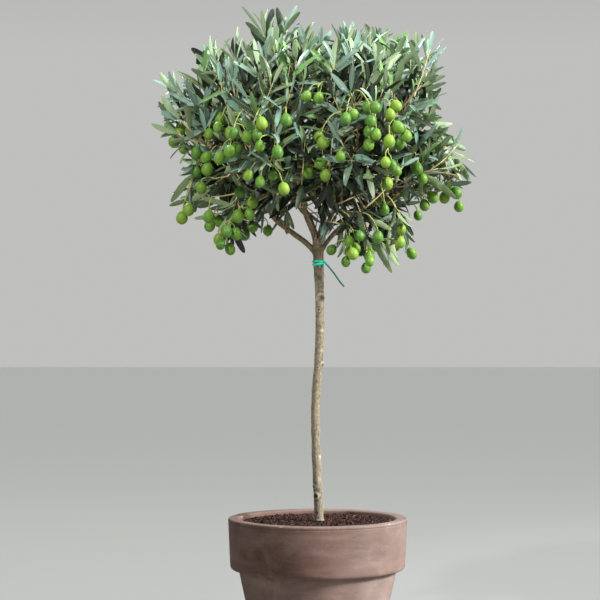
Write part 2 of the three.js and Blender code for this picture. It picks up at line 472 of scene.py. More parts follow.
# Painted shade: the darker tone of the tie's loose end.
TIE_TAIL_PAINTED_SHADE = (0.03, 0.45, 0.37)


def toned(rgb, factor):
    """A colour made darker or paler by a factor."""
    return [min(1, factor * c) for c in rgb]


def clay_finish(pot):
    """Blotched, dusty clay: damp and bloom first, then dust, painted light and painted shade, the weather's
    marks, grit and chips.
    """
    finish = Finish("weathered_clay", pot.clay, 0.86, Specular_IOR_Level=0.3)
    tall, long = finish.stretched((1, 1, 5)), finish.stretched((1, 1, 1.6))
    damp = finish.ramp(finish.noise(7, 4, 0.6, distortion=0.5), (0.36, 0.0), (0.66, 1.0))
    washes = finish.ramp(finish.noise(17, 8, 0.66, distortion=1.1), (0.50, 0.0), (0.64, 1.0))
    smears = finish.ramp(finish.noise(13, 7, 0.62, tall, 0.4), (0.46, 0.0), (0.70, 1.0))
    bloom = finish.ramp(finish.noise(11, 5, 0.6, long, 0.8), (0.50, 0.0), (0.72, 0.7))
    marks = finish.ramp(finish.noise(5.5, 2, 0.4), (0.49, 0.0), (0.5, 0.10), (0.51, 0.0))
    grit = finish.noise(480, 4, 0.72)
    body = finish.mix(damp, pot.stain_and_shade, pot.clay)
    body = finish.mix(bloom, body, CLAY_BLOOM)
    body = finish.mix(finish.faint(washes, 0.26), body, pot.dust)
    body = finish.mix(finish.faint(smears, 0.38), body, finish.mix(0.5, pot.dust, pot.clay))
    # Painted light: paler on the sunny side, on the body below the band and on the rim's top.
    body = finish.marked("bleached", body, CLAY_PAINTED_LIGHT)
    # Painted shade: darker on the side away from the key light.
    body = finish.marked("shaded", body, toned(pot.stain_and_shade, 0.85))
    body = finish.mix(marks, body, pot.dust)
    body = finish.mix(finish.ramp(grit, (0.28, 0.5), (0.42, 0.0)), body, pot.stain_and_shade)
    body = finish.mix(finish.ramp(grit, (0.60, 0.0), (0.72, 0.35)), body, CLAY_SPECKS)
    finish.colour(finish.marked("chip", body, CLAY_CHIPPED))
    finish.roughness(finish.ramp(washes, (0.0, 0.76), (1.0, 0.95)))
    finish.bump(finish.mix(0.55, grit, finish.noise(95, 6, 0.72)), 0.5 * MM, 0.6)
    return finish.material


def soil_finish(name, rgb):
    finish = Finish(name, rgb, 0.95, Specular_IOR_Level=0.2)
    tones = (0.35, toned(rgb, 0.45)), (0.52, rgb), (0.72, toned(rgb, 1.5))
    finish.colour(finish.ramp(finish.noise(260, 6, 0.7), *tones))
    finish.bump(finish.noise(500, 5, 0.7), 0.8 * MM)
    return finish.material


def bark_finish(stem):
    """Bark that is palest at the foot and warmest above the fork, with patches, flecks, scars and knots."""
    finish = Finish("olive_bark", stem.bark, 0.82, Specular_IOR_Level=0.3)
    patches = finish.noise(90, 5, 0.6, finish.stretched((1, 1, 0.4)), 0.3)
    flecks = finish.noise(340, 5, 0.7, finish.stretched((1, 1, 0.6)))
    up_the_stem = finish.risen(SOIL_TOP + 0.06, STEM_HIGH.z - 0.05, 0.75)
    past_the_fork = finish.risen(STEM_HIGH.z - 0.03, STEM_HIGH.z + 0.02)
    tone = finish.mix(up_the_stem, stem.bark_pale, stem.bark)
    tone = finish.mix(past_the_fork, tone, stem.bark_young)
    tone = finish.mix(finish.ramp(patches, (0.42, 0.0), (0.66, 0.45)), tone, BARK_PATCHES)
    tone = finish.mix(finish.ramp(flecks, (0.36, 0.7), (0.49, 0.0)), tone, stem.bark_dark)
    tone = finish.mix(finish.ramp(flecks, (0.53, 0.0), (0.66, 0.65)), tone, BARK_FLECKS)
    tone = finish.marked("scar", tone, BARK_SCARS)
    finish.colour(finish.marked("knot", tone, BARK_KNOTS))
    finish.bump(flecks, 0.5 * MM, 0.9)
    return finish.material


def twig_finish(name, rgb):
    finish = Finish(name, rgb, 0.7, Specular_IOR_Level=0.35)
    finish.bump(finish.noise(900, 3, 0.6), 0.1 * MM, 0.6)
    return finish.material


def leaf_finish(name, rgb, roughness, gloss):
    finish = Finish(name, rgb, roughness, Specular_IOR_Level=gloss)
    finish.bump(finish.noise(650, 3, 0.6), 0.12 * MM, 0.5)
    return finish.material


def olive_finish(name, rgb):
    """Smooth green skin with paler cheeks, that lets a little light through."""
    skin = {"Specular_IOR_Level": 0.4, "Subsurface_Weight": 0.22, "Subsurface_Scale": 4 * MM}
    finish = Finish(name, rgb, 0.48, **skin)
    finish.surface.inputs["Subsurface Radius"].default_value = (0.6, 1.0, 0.3)
    cheeks = [0.72 * c + 0.28 * p for c, p in zip(rgb, OLIVE_CHEEKS)]
    finish.colour(finish.ramp(finish.noise(110, 3, 0.6), (0.42, rgb), (0.66, cheeks)))
    finish.roughness(finish.ramp(finish.noise(300, 3, 0.6), (0.3, 0.40), (0.7, 0.55)))
    finish.bump(finish.noise(420, 3, 0.6), 0.08 * MM, 0.5)
    return finish.material


def tie_finish(stem):
    finish = Finish("tie_plastic", stem.tie, 0.35, Specular_IOR_Level=0.5)
    dull = finish.noise(160, 4, 0.6)
    turns = finish.ramp(dull, (0.3, toned(stem.tie, 0.86)), (0.6, stem.tie))
    # The loose end gets painted shade, a darker tone.
    finish.colour(finish.marked("loose", turns, TIE_TAIL_PAINTED_SHADE))
    finish.roughness(finish.ramp(dull, (0.3, 0.3), (0.7, 0.5)))
    finish.bump(finish.noise(500, 3, 0.6), 0.08 * MM, 0.4)
    return finish.material


# ------------------------------------------------------------------ pot and soil

POT_TURNS = 288
POT_GRAIN = 2.6 * MM
GROOVE_DROP = 4.6 * MM
DRAIN_HOLE = 12
DRAIN_EDGE = 60 * MM
# How strong the painted light is on the sunny side, on the body below the band (where it offsets the band's
# shadow over a paler body) and on the rim's top, and how strong the painted shade is on the shady side.
SUN_PAINTED_LIGHT, BODY_PAINTED_LIGHT, RIM_PAINTED_LIGHT, SHADY_PAINTED_SHADE = 0.14, 0.10, 0.12, 0.5
# Chips along the rim: turn in radians, distance from the axis and size, both in millimetres.
CHIPS = [
    (2.75, 134, 2.6), (2.66, 133, 1.6), (2.92, 117, 2.4), (2.85, 118, 1.5), (2.45, 134, 1.6),
    (1.10, 134, 2.2), (4.30, 134.5, 1.2), (5.60, 134.5, 1.6), (0.20, 134, 1.4),
]
# What share of the soil's crumbs has each of their four tones.
CRUMB_SHARES = (0.42, 0.34, 0.20, 0.04)
CRUMB_SEED = 5
SOIL_TURNS, SOIL_GRAIN = 220, 1.7 * MM


def pot_outline(pot):
    """The pot's section, from the drain hole out, up and over the rim and back down inside."""
    top, rim = pot.height / MM, pot.rim_radius / MM
    band_foot = (pot.height - pot.band_height) / MM
    groove = (pot.height - GROOVE_DROP) / MM
    mouth = (pot.rim_radius - pot.wall) / MM
    corners = [
        (DRAIN_HOLE, 0, 1), (85, 0, 3), (118.3, band_foot, 1.2), (130.5, band_foot, 6.5),
        (rim - 0.7, groove - 1.0, 0.4), (rim - 1.3, groove, 0.4), (rim - 0.5, groove + 1.0, 0.4),
        (rim - 0.4, top, 3.0), (mouth, top, 4.5), (mouth - 2, 205, 2),
        (74, 16, 4), (DRAIN_HOLE, 16, 1),
    ]
    return rounded([tuple(value * MM for value in corner) for corner in corners], 5)


def build_pot(pot):
    """Turns the pot, then gives it a thrown surface, painted light on its sunny side, lower body and rim top,
    painted shade on its shady side, and chips.
    """
    bm = turned(pot_outline(pot), POT_TURNS, POT_GRAIN, True)
    chip, bleached, shaded = (bm.verts.layers.float.new(name) for name in ("chip", "bleached", "shaded"))
    band_foot = pot.height - pot.band_height
    chips = [(around(turn) * away * MM + UP * pot.height, size * MM) for turn, away, size in CHIPS]
    for vert in bm.verts:
        x, y, z = vert.co
        sunny = (0.97 * x - 0.24 * y) / pot.rim_radius
        uneven = 1 + 0.5 * noise.noise(vert.co * 26)
        # Painted light on the side towards the key light, on the body below the band (offsetting the band's
        # shadow over a paler body) and on the rim's top.
        painted_light_amount = SUN_PAINTED_LIGHT * smoothstep(0.1, 1.0, sunny) + BODY_PAINTED_LIGHT * smoothstep(0, 8 * MM, band_foot - z)
        painted_light_amount += RIM_PAINTED_LIGHT * smoothstep(-2.5 * MM, -0.5 * MM, z - pot.height)
        vert[bleached] = painted_light_amount * uneven
        # Painted shade on the side away from the key light.
        vert[shaded] = SHADY_PAINTED_SHADE * smoothstep(0.3, 1.0, -sunny) * uneven
        if math.hypot(x, y) < DRAIN_EDGE or z < 1 * MM:
            continue
        sway = octaves(vert.co, (14, 0.5), (45, 0.22))
        ridges = math.sin(z / MM * 1.9 + 2.5 * noise.noise(vert.co * 9)) * 0.06
        vert.co += vert.normal * (sway + ridges) * MM
        for edge, size in chips:
            near = (vert.co - edge).length / size
            ragged = 1.15 + 0.5 * noise.noise(vert.co * 420)
            if near < ragged:
                vert.co -= UP * 0.5 * size * (1 - near / ragged)
                vert[chip] = 1 - (near / ragged) ** 3
    piece("clay_pot", mesh_of(bm), [clay_finish(pot)], ["pot"])


def build_soil(pot):
    """A lumpy dome of soil with loose crumbs on it."""
    low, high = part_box("soil")
    brim = high.x - 1.5 * MM
    edge = SOIL_TOP - 1 * MM
    dome = SOIL_TOP - edge
    corners = [Vector((0, low.z)), Vector((0.66 * brim, low.z))]
    for t in np.linspace(0, 1, 9):
        corners.append(Vector((brim * (1 - t), edge + dome * math.sin(t * math.pi / 2))))
    bm = turned(corners, SOIL_TURNS, SOIL_GRAIN, False)
    for vert in bm.verts:
        place = vert.co
        if place.z < edge - 1 * MM or math.hypot(place.x, place.y) > brim - 0.5 * MM:
            continue
        place.z += (octaves(place, (60, 1.3), (170, 1.5), (420, 0.9)) - 0.6) * MM
    earth = soil_finish("potting_soil", pot.soil)
    piece("soil_bed", mesh_of(bm), [earth], ["soil"], smooth=False)

    rng = np.random.default_rng(CRUMB_SEED)
    ball, _, sides = template(bmesh.ops.create_icosphere, subdivisions=1, radius=1)
    count = pot.crumbs
    size = (0.7 + 1.9 * rng.random(count) ** 2.2) * MM
    radius = np.sqrt(rng.random(count)) * (brim - 2 * MM)
    angle = rng.random(count) * 2 * math.pi
    rise = edge + dome * np.sin((1 - radius / brim) * math.pi / 2) - 0.7 * MM + 0.25 * size
    centre = np.stack([radius * np.cos(angle), radius * np.sin(angle), rise], axis=1)
    shape = ball * (0.6 + 0.6 * rng.random((count, 1, 3)))
    shape = shape + 0.22 * rng.standard_normal((count, len(ball), 3))
    points = (centre[:, None] + shape * size[:, None, None]).reshape(-1, 3)
    tones = np.repeat(rng.choice(4, count, p=CRUMB_SHARES), len(sides))
    reddish = [c * factor for c, factor in zip(pot.soil, (1.25, 1.12, 1.08))]
    shades = [
        earth,
        soil_finish("soil_dark", toned(pot.soil, 0.5)),
        soil_finish("soil_reddish", reddish),
        soil_finish("soil_grit", (0.44, 0.36, 0.31)),
    ]
    mesh = joined_mesh("soil_crumbs", points, [copied_faces(sides, count, len(ball))], [tones])
    piece("soil_crumbs", mesh, shades, smooth=False)


# ------------------------------------------------------------------ stem, boughs and tie

# Knots and scars on the stem: height above the soil and size in metres, turn in radians, bulge in
# millimetres, and how dark the middle is, below 0 for a pale scar.
KNOTS = [
    (0.038, 0.0066, 4.12, 1.8, 1.0), (0.046, 0.0036, 3.95, 0.8, 0.8), (0.0515, 0.0046, 3.65, 1.2, 1.0),
    (0.062, 0.0060, 4.95, 0.4, -0.45), (0.0955, 0.0044, 5.6, 1.2, -1.0), (0.2305, 0.0030, 4.55, 0.2, 0.8),
    (0.234, 0.0048, 5.75, 2.8, 0.7), (0.255, 0.0032, 5.30, 0.4, -0.7), (0.285, 0.0036, 5.30, 0.5, -0.9),
    (0.3165, 0.0034, 4.45, 0.3, 0.8), (0.3225, 0.0062, 4.95, 2.0, -0.7), (0.3335, 0.0080, 5.15, 3.2, 0.6),
    (0.367, 0.0046, 3.25, 1.6, 0.45), (0.367, 0.0046, 0.05, 1.8, 0.45), (0.371, 0.0040, 4.60, 0.8, -0.5),
    (0.120, 0.0044, 1.30, 1.2, 0.6), (0.200, 0.0050, 2.30, 1.6, 0.8), (0.290, 0.0044, 0.90, 1.4, 0.5),
    (0.347, 0.0050, 1.90, 1.8, 0.7),
]
# How far the middles of the knots are from the stem's, in millimetres.
KNOT_RING = 6.8
STEM_POINTS, STEM_SIDES = 90, 24
BOUGH_POINTS, BOUGH_SIDES = 26, 16
SMOOTHINGS = 4
TIE_POINTS, TIE_SIDES = 220, 16


@functools.cache
def stem_line():
    """The stem's middle line and radii, wider at the foot and a little under the fork."""
    line, radii = limb_line("trunk", 80)
    line = np.vstack([[*line[0][:2], STEM_LOW.z], line, [*line[-1][:2], STEM_HIGH.z]])
    radii = np.concatenate([[radii[0] + 1.4 * MM], radii, [radii[-1]]])
    return line, radii + 1.0 * MM * np.exp(-(((line[:, 2] - STEM_HIGH.z + 0.030) / 0.026) ** 2))


def stem_at(height):
    """The middle of the stem at a height."""
    x, y, z = stem_line()[0].T
    return np.array([np.interp(height, z, x), np.interp(height, z, y), height])


def resampled(values, count):
    """Values along a line, read at another number of evenly spaced places."""
    return np.interp(np.linspace(0, 1, count), np.linspace(0, 1, len(values)), values)


@functools.cache
def bough_lines():
    """Each bough's line and radii, from inside the stem's fork to where its solid ends."""
    lines = {}
    for node in LIMB_NODES:
        line, radii = limb_line(node, 12)
        start = stem_at(line[0][2] - 14 * MM)
        line = even_line(np.vstack([start, line[1:]]), BOUGH_POINTS)
        lines[node] = line, resampled(radii, BOUGH_POINTS)
    return lines


def build_stem(stem):
    """Fuses the stem and the boughs into one mesh, then raises its furrows, lumps, knots and scars."""
    bm = bmesh.new()
    line, radii = stem_line()
    sweep(bm, even_line(line, STEM_POINTS), resampled(radii, STEM_POINTS), STEM_SIDES)
    for limb, widths in bough_lines().values():
        sweep(bm, limb, widths, BOUGH_SIDES)
    rough = bpy.data.objects.new("stem_parts", mesh_of(bm))
    bpy.context.scene.collection.objects.link(rough)
    fuse = rough.modifiers.new("Fuse", "REMESH")
    fuse.mode = "VOXEL"
    fuse.voxel_size = stem.grain
    fused = bpy.data.meshes.new_from_object(rough.evaluated_get(bpy.context.evaluated_depsgraph_get()))
    bpy.data.objects.remove(rough)

    bm = bmesh.new()
    bm.from_mesh(fused)
    every_way = {"use_axis_x": True, "use_axis_y": True, "use_axis_z": True}
    for _ in range(SMOOTHINGS):
        bmesh.ops.smooth_vert(bm, verts=bm.verts, factor=0.5, **every_way)
    bm.normal_update()
    spots = []
    for height, size, turn, bulge, tone in KNOTS:
        middle = Vector(stem_at(SOIL_TOP + height))
        spots.append((middle + around(turn) * KNOT_RING * MM, size, bulge * MM, tone))
    dark = bm.verts.layers.float.new("knot")
    pale = bm.verts.layers.float.new("scar")
    for vert in bm.verts:
        place = vert.co
        long_grain = Vector((place.x, place.y, place.z * 0.16))
        furrows = octaves(long_grain, (520, 0.7), (1300, 0.5))
        lumps = octaves(place, (70, 1.3), (160, 0.9), (420, 0.5))
        shift = (furrows + lumps) * stem.relief
        shade = light = 0.0
        for centre, size, bulge, tone in spots:
            near = (place - centre).length / size
            if near < 1.9:
                near *= 1 + 0.32 * noise.noise(place * 260)
                dome = math.exp(-2.2 * near * near)
                pit = math.exp(-((near / 0.40) ** 4))
                lip = math.exp(-22 * (near - 0.82) ** 2)
                shift += bulge * (dome - (0.7 * pit if tone > 0 else 0))
                shade = max(shade, 1.15 * pit * tone, 0.45 * tone * math.exp(-30 * (near - 1.25) ** 2))
                light = max(light, -tone * dome, 0.7 * lip * tone ** 0.5 if tone > 0 else 0)
        vert[dark] = min(1.0, max(shade, 0))
        vert[pale] = min(1.0, max(light, 0))
        vert.co = place + vert.normal * shift
        vert.co.z = max(vert.co.z, STEM_LOW.z - 1.5 * MM)
    piece("stem_and_boughs", mesh_of(bm), [bark_finish(stem)], ["trunk"] + LIMB_NODES)


def build_tie(stem):
    """Two turns of a flat strip round the stem, and its loose end, in one length."""
    tail = limb_line("tie_tail", 10)[0][::-1]
    (low, low_top), (high_foot, high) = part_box("tie_loop_1"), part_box("tie_loop_2")
    half_width = (low_top.z - low.z) / 2
    half_depth = 1.1 * MM
    ring = (high.x - high_foot.x) / 2 - half_depth - 0.3 * MM
    bottom, top = low.z + half_width, high.z - half_width
    middle = stem_at((bottom + top) / 2)
    line = []
    for t in np.linspace(0, 1, 81):
        angle = -0.85 - (1 - t) * 4 * math.pi
        lift = bottom + (top - bottom) * smoothstep(0.38, 0.62, t)
        line.append([middle[0] + ring * math.cos(angle), ring * math.sin(angle), lift])
    line = even_line(np.vstack([line, tail]), TIE_POINTS)
    loose = smoothstep(0.68, 0.78, np.linspace(0, 1, TIE_POINTS))
    sections = np.stack([half_depth + 0.3 * MM * loose, half_width * (1 - 0.34 * loose)], axis=1)
    bm = bmesh.new()
    sweep(bm, line, sections, TIE_SIDES)
    # The loose end past the stem darkens with painted shade.
    end = bm.verts.layers.float.new("loose")
    for vert in bm.verts:
        vert[end] = smoothstep(ring, ring + 7 * MM, vert.co.x - middle[0])
    piece("garden_tie", mesh_of(bm), [tie_finish(stem)], ["tie_loop_1", "tie_loop_2", "tie_tail"])


# ------------------------------------------------------------------ the crown's plan

# Long twigs that run through the crown's skin, from the end of a bough: the places they pass, each as
# x, y and z in millimetres.
LEADERS = {
    "bough_right": (98, -30, 722, 128, -66, 736, 154, -70, 750, 178, -62, 749, 204, -52, 745),
    "bough_left": (-112, -46, 762, -140, -60, 780, -170, -58, 792, -211, -44, 805),
    "bough_middle": (30, -20, 780, 70, -50, 800, 108, -78, 826, 128, -86, 848, 152, -80, 877),
}
# Shoots that stand out in front and along the outline: the places they pass from foot to tip, each as
# x, y and z in millimetres.
SPRAYS = [
    (-62, -20, 884, -74, -26, 926, -80, -28, 960), (-44, -20, 872, -52, -26, 898, -60, -30, 920),
    (-24, -34, 866, -12, -42, 890, -4, -46, 912), (30, -20, 866, 38, -26, 904, 48, -28, 936),
    (46, -30, 860, 56, -38, 886, 64, -42, 910), (34, -88, 822, 38, -104, 846, 40, -116, 868),
    (98, -40, 850, 108, -48, 884, 114, -52, 918), (140, -74, 858, 154, -72, 894, 164, -68, 928),
    (150, -60, 850, 166, -58, 872, 176, -56, 898), (146, -40, 812, 164, -44, 834, 174, -46, 852),
    (-106, -20, 866, -116, -26, 892, -124, -28, 916), (-128, -26, 856, -144, -32, 880, -156, -34, 902),
    (-146, -20, 842, -170, -24, 860, -192, -28, 878), (-150, -34, 828, -182, -38, 846, -208, -40, 868),
    (-110, -40, 812, -136, -52, 824, -160, -58, 846), (-160, -60, 784, -186, -58, 796, -208, -52, 806),
    (-162, -50, 790, -186, -44, 808, -204, -40, 828), (-92, -112, 780, -108, -126, 800, -120, -134, 818),
    (-52, -140, 772, -62, -156, 786, -68, -168, 796), (8, -128, 790, 2, -150, 780, -4, -164, 752),
    (-24, -120, 796, -30, -144, 786, -34, -156, 760), (24, -120, 760, 18, -142, 746, 12, -150, 724),
    (-132, -70, 742, -156, -84, 738, -178, -90, 728), (-112, -60, 728, -120, -72, 712, -124, -78, 690),
    (128, -66, 738, 152, -64, 748, 176, -58, 754), (162, -64, 750, 186, -60, 766, 204, -56, 788),
    (154, -64, 750, 182, -56, 744, 206, -50, 726), (-6, -54, 716, -2, -68, 706, 4, -80, 690),
    (16, -46, 690, 38, -60, 696, 52, -70, 674, 60, -76, 644), (20, -40, 700, 32, -54, 688, 40, -62, 666),
    (30, -44, 690, 56, -66, 692, 80, -78, 684), (100, -60, 716, 110, -70, 706, 116, -74, 686),
    (-124, -72, 716, -150, -86, 710, -178, -94, 714), (-114, -92, 692, -122, -102, 676, -126, -106, 656),
    (112, -34, 706, 118, -44, 692, 122, -50, 672), (-40, 44, 736, -44, 50, 720, -46, 54, 700),
    (-70, 30, 730, -78, 34, 716, -82, 36, 700),
]


def in_metres(places):
    """A row of millimetres as an array of points in metres."""
    return np.array(places).reshape(-1, 3) * MM


@functools.cache
def masses():
    """Each foliage mass as a search tree of its faces."""
    depsgraph = bpy.context.evaluated_depsgraph_get()
    return [BVHTree.FromObject(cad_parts[name], depsgraph) for name in MASS_NODES]


def depth_in_crown(point):
    """How far a point is inside the masses: negative outside them all."""
    point = Vector(point)
    depths = []
    for tree in masses():
        place, normal, _, distance = tree.find_nearest(point)
        depths.append(distance if (point - place).dot(normal) < 0 else -distance)
    return max(depths)


def share_of_crown(heights):
    """Heights as a share of the crown's own: 0 at its lowest point and 1 at its top."""
    return (heights - CROWN_LOW) / CROWN_DEPTH


def spaced(points, gap, taken=()):
    """The places of those points that keep the gap from each other and from those taken."""
    kept = [np.asarray(point) for point in taken]
    chosen = []
    for i, point in enumerate(points):
        if not kept or np.min(np.linalg.norm(np.array(kept) - point, axis=1)) > gap:
            kept.append(point)
            chosen.append(i)
    return chosen


def skin_samples(rng, count):
    """Random points on the crown's outside, with the outward directions there."""
    corners, normals = [], []
    for name in MASS_NODES:
        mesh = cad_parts[name].data
        mesh.calc_loop_triangles()
        for triangle in mesh.loop_triangles:
            corners.append([mesh.vertices[i].co[:] for i in triangle.vertices])
            normals.append(triangle.normal[:])
    corners, normals = np.array(corners), np.array(normals)
    area = np.linalg.norm(np.cross(corners[:, 1] - corners[:, 0], corners[:, 2] - corners[:, 0]), axis=1)
    pick = rng.choice(len(area), count, p=area / area.sum())
    u, v = rng.random(count), rng.random(count)
    flip = u + v > 1
    u[flip], v[flip] = 1 - u[flip], 1 - v[flip]
    one, two, three = corners[pick].transpose(1, 0, 2)
    points = one + u[:, None] * (two - one) + v[:, None] * (three - one)
    outside = [depth_in_crown(p + n * 7 * MM) < 0 for p, n in zip(points, normals[pick])]
    return points[outside], normals[pick][outside]


def inner_samples(rng, count, shallow, deep):
    """Random points inside the crown, between two depths under its skin."""
    low = np.min([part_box(name)[0] for name in MASS_NODES], axis=0)
    high = np.max([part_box(name)[1] for name in MASS_NODES], axis=0)
    points = low + rng.random((count, 3)) * (high - low)
    middle = np.array([0, 0, (CROWN_LOW + CROWN_HIGH) / 2 + 10 * MM])
    size = (high - low) / 2
    return [p for p in points if shallow < 1 - np.linalg.norm((p - middle) / size) < deep
            and depth_in_crown(p) > 4 * MM]


SHOOT_POINTS = 8
# How many random places are tried for shoots at the crown's skin, and how many inside it.
SKIN_TRIES, INNER_TRIES = 5200, 4000


class Shoots:
    """Leafy shoots: their lines from foot to tip, how high they are, whether inside, and how long."""

    def __init__(self, lines, inner):
        self.lines = np.asarray(lines)
        tips = self.lines[:, -1]
        self.height = share_of_crown(tips[:, 2])
        self.inner = np.full(len(tips), inner)
        self.reach = np.linalg.norm(np.diff(self.lines, axis=1), axis=2).sum(axis=1)

    def __add__(self, other):
        for name, values in vars(other).items():
            setattr(self, name, np.concatenate([getattr(self, name), values]))
        return self

    def keep(self, chosen):
        """Drops every shoot but the chosen ones."""
        for name, values in vars(self).items():
            setattr(self, name, values[chosen])


def grown_shoots(tips, outward, rng, settings, inner):
    """Shoots that end near the given places: upright at the top, hanging low down, outward between."""
    count = len(tips)
    height = share_of_crown(tips[:, 2:])
    radial = unit(tips * (1, 1, 0) + 1e-6)
    rise = np.array([0, 0, 1.0])
    steep = np.interp(height, [0.3, 0.6], [0.0, 1.0])
    outward = np.hstack([outward[:, :2], np.clip(outward[:, 2:], -1.1 + height, steep)])
    lift = np.interp(height, [0, 0.22, 0.42, 0.65, 1], [-1.05, -0.5, 0.30, 1.25, 2.0])
    way = unit(0.85 * outward + lift * rise + 0.26 * rng.standard_normal((count, 3)))
    reach = (0.058 + 0.050 * rng.random((count, 1))) * (0.85 if inner else 1.0)
    start = unit(way + 0.55 * radial * (1 - height) - 0.45 * lift * rise)
    steps = np.linspace(0, 1, SHOOT_POINTS)[None, :, None]
    headings = unit(start[:, None] * (1 - steps) + way[:, None] * steps)
    line = np.concatenate([np.zeros((count, 1, 3)), np.cumsum(headings[:, :-1], axis=1)], axis=1)
    line *= (reach / (SHOOT_POINTS - 1))[:, None]
    hollow = np.array([max(0, -noise.noise(Vector(tip) * 15)) for tip in tips])[:, None]
    inset = (0.40 + 0.2 * rng.random((count, 1))) * settings.leaf_length + 42 * MM * hollow
    return Shoots(line - line[:, -1:] + (tips - way * inset)[:, None], inner)


class Branches:
    """The woody part: nodes that each know their parent, grown towards the feet of the shoots."""

    step = 9 * MM
    reach = 11 * MM
    thickest = 3.3 * MM
    turns = 140

    def __init__(self):
        self.places, self.parents = [], []
        for node, (line, _) in bough_lines().items():
            self.chain(line[9:], -1)
            if node in LEADERS:
                route = np.vstack([line[-1], in_metres(LEADERS[node])])
                count = int(np.linalg.norm(np.diff(route, axis=0), axis=1).sum() / self.step)
                self.chain(even_line(route, count)[1:], len(self.places) - 1)

    def chain(self, line, parent):
        """Adds a row of nodes, each the child of the one before."""
        for point in line:
            self.places.append(Vector(point))
            self.parents.append(parent)
            parent = len(self.places) - 1

    def grow(self, targets):
        """Grows towards every target, and returns the node nearest to each and how far off it ends."""
        owners = np.full(len(targets), -1)
        apart = np.zeros(len(targets))
        targets = [Vector(target) for target in targets]
        waiting = set(range(len(targets)))
        for turn in range(self.turns):
            tree = search_tree(self.places)
            pulls = {}
            for t in sorted(waiting):
                place, nearest, distance = tree.find(targets[t])
                owners[t], apart[t] = nearest, distance
                if distance < self.reach:
                    waiting.discard(t)
                else:
                    pulls.setdefault(nearest, []).append((targets[t] - place).normalized())
            if not waiting:
                break
            for i, ways in pulls.items():
                way = sum(ways, Vector()).normalized() if turn < self.turns / 2 else ways[0].copy()
                if self.parents[i] >= 0:
                    way += 0.4 * (self.places[i] - self.places[self.parents[i]]).normalized()
                self.places.append(self.places[i] + way.normalized() * self.step)
                self.parents.append(i)
        return owners, apart

    def thickness(self, owners, tip, anchors):
        """Radius at each node: its cube is the sum of what it carries, so it is 0 where that is nothing."""
        load = np.zeros(len(self.places))
        np.add.at(load, owners, tip**3)
        np.add.at(load, anchors, tip**3)
        for i in range(len(self.places) - 1, -1, -1):
            if self.parents[i] >= 0:
                load[self.parents[i]] += load[i]
        return np.minimum(np.cbrt(load), self.thickest)

    def limbs(self, radii):
        """Unbroken runs of the nodes that carry something, each with its radii, from its joint to its end."""
        children = {}
        for i, parent in enumerate(self.parents):
            if radii[i] > 0:
                children.setdefault(parent, []).append(i)
        runs = []
        waiting = [[i] for i in children[-1]]
        while waiting:
            run = waiting.pop()
            while run[-1] in children:
                follow = sorted(children[run[-1]], key=lambda child: -radii[child])
                waiting += [[run[-1], child] for child in follow[1:]]
                run.append(follow[0])
            if len(run) > 1:
                line = np.array([self.places[i] for i in run])
                width = radii[run].copy()
                width[0] = min(width[0], width[1] * 1.15)
                runs.append((line, width))
        return runs


@functools.cache
def crown_plan():
    """Where every branch and shoot of the crown runs, worked out once for all its pieces."""
    settings = bpy.context.scene.olive_crown
    rng = np.random.default_rng(settings.seed)
    posed = [even_line(in_metres(route), SHOOT_POINTS) for route in SPRAYS]
    shoots = Shoots(posed, False)
    taken = [line[-1] for line in posed]
    points, normals = skin_samples(rng, SKIN_TRIES)
    lumps = np.array([noise.noise(Vector(point) * 13 + Vector((3, 5, 7))) for point in points])
    height = share_of_crown(points[:, 2])
    thin = np.interp(height, [0.05, 0.22, 0.35, 0.5], [0.25, 0.05, -0.16, -0.30])
    points, normals = (array[lumps > thin] for array in (points, normals))
    keep = spaced(points, settings.shoot_gap, taken)
    shoots = shoots + grown_shoots(points[keep], normals[keep], rng, settings, False)
    inside = np.array(inner_samples(rng, INNER_TRIES, 0.12, 0.62))
    inside = inside[spaced(inside, settings.inner_gap)]
    middle = np.array([0, 0, CROWN_LOW + 0.3 * CROWN_DEPTH])
    shoots = shoots + grown_shoots(inside, unit(inside - middle), rng, settings, True)
    tips_in, feet_in = (
        np.array([depth_in_crown(line[end]) for line in shoots.lines]) > least
        for end, least in ((-1, 2 * MM), (0, -2 * MM))
    )
    shoots.keep(tips_in & feet_in | (np.arange(len(tips_in)) < len(SPRAYS)))
    branches = Branches()
    owners, apart = branches.grow(shoots.lines[:, 0])
    reached = apart < 2 * branches.reach
    shoots.keep(reached)
    return shoots, branches, owners[reached]


# ------------------------------------------------------------------ twigs and leaves


def tube_faces(rings, sides):
    """The faces of a closed tube, four-sided along it and three-sided at its ends.

    Its foot is point 0, the rings' points follow, and its tip is the last.
    """
    here = np.arange(sides)
    there = (here + 1) % sides
    rows = 1 + sides * np.arange(rings - 1)[:, None]
    quads = np.stack([rows + here, rows + there, rows + sides + there, rows + sides + here], axis=-1)
    last = 1 + sides * (rings - 1)
    low = np.stack([np.zeros(sides, int), 1 + there, 1 + here], axis=1)
    high = np.stack([np.full(sides, last + sides), last + here, last + there], axis=1)
    return quads.reshape(-1, 4), np.vstack([low, high])


def tube_points(line, radii, sides):
    """The points of a closed tube along a line, in the order that its faces take."""
    across, other, ways = carried_frames(line)
    turn = (np.arange(sides) * 2 * math.pi / sides)[None, :, None]
    ring = across[:, None] * np.cos(turn) + other[:, None] * np.sin(turn)
    rings = (line[:, None] + ring * np.asarray(radii)[:, None, None]).reshape(-1, 3)
    foot, tip = line[0] - ways[0] * radii[0] * 0.4, line[-1] + ways[-1] * radii[-1] * 0.8
    return np.vstack([foot, rings, tip])


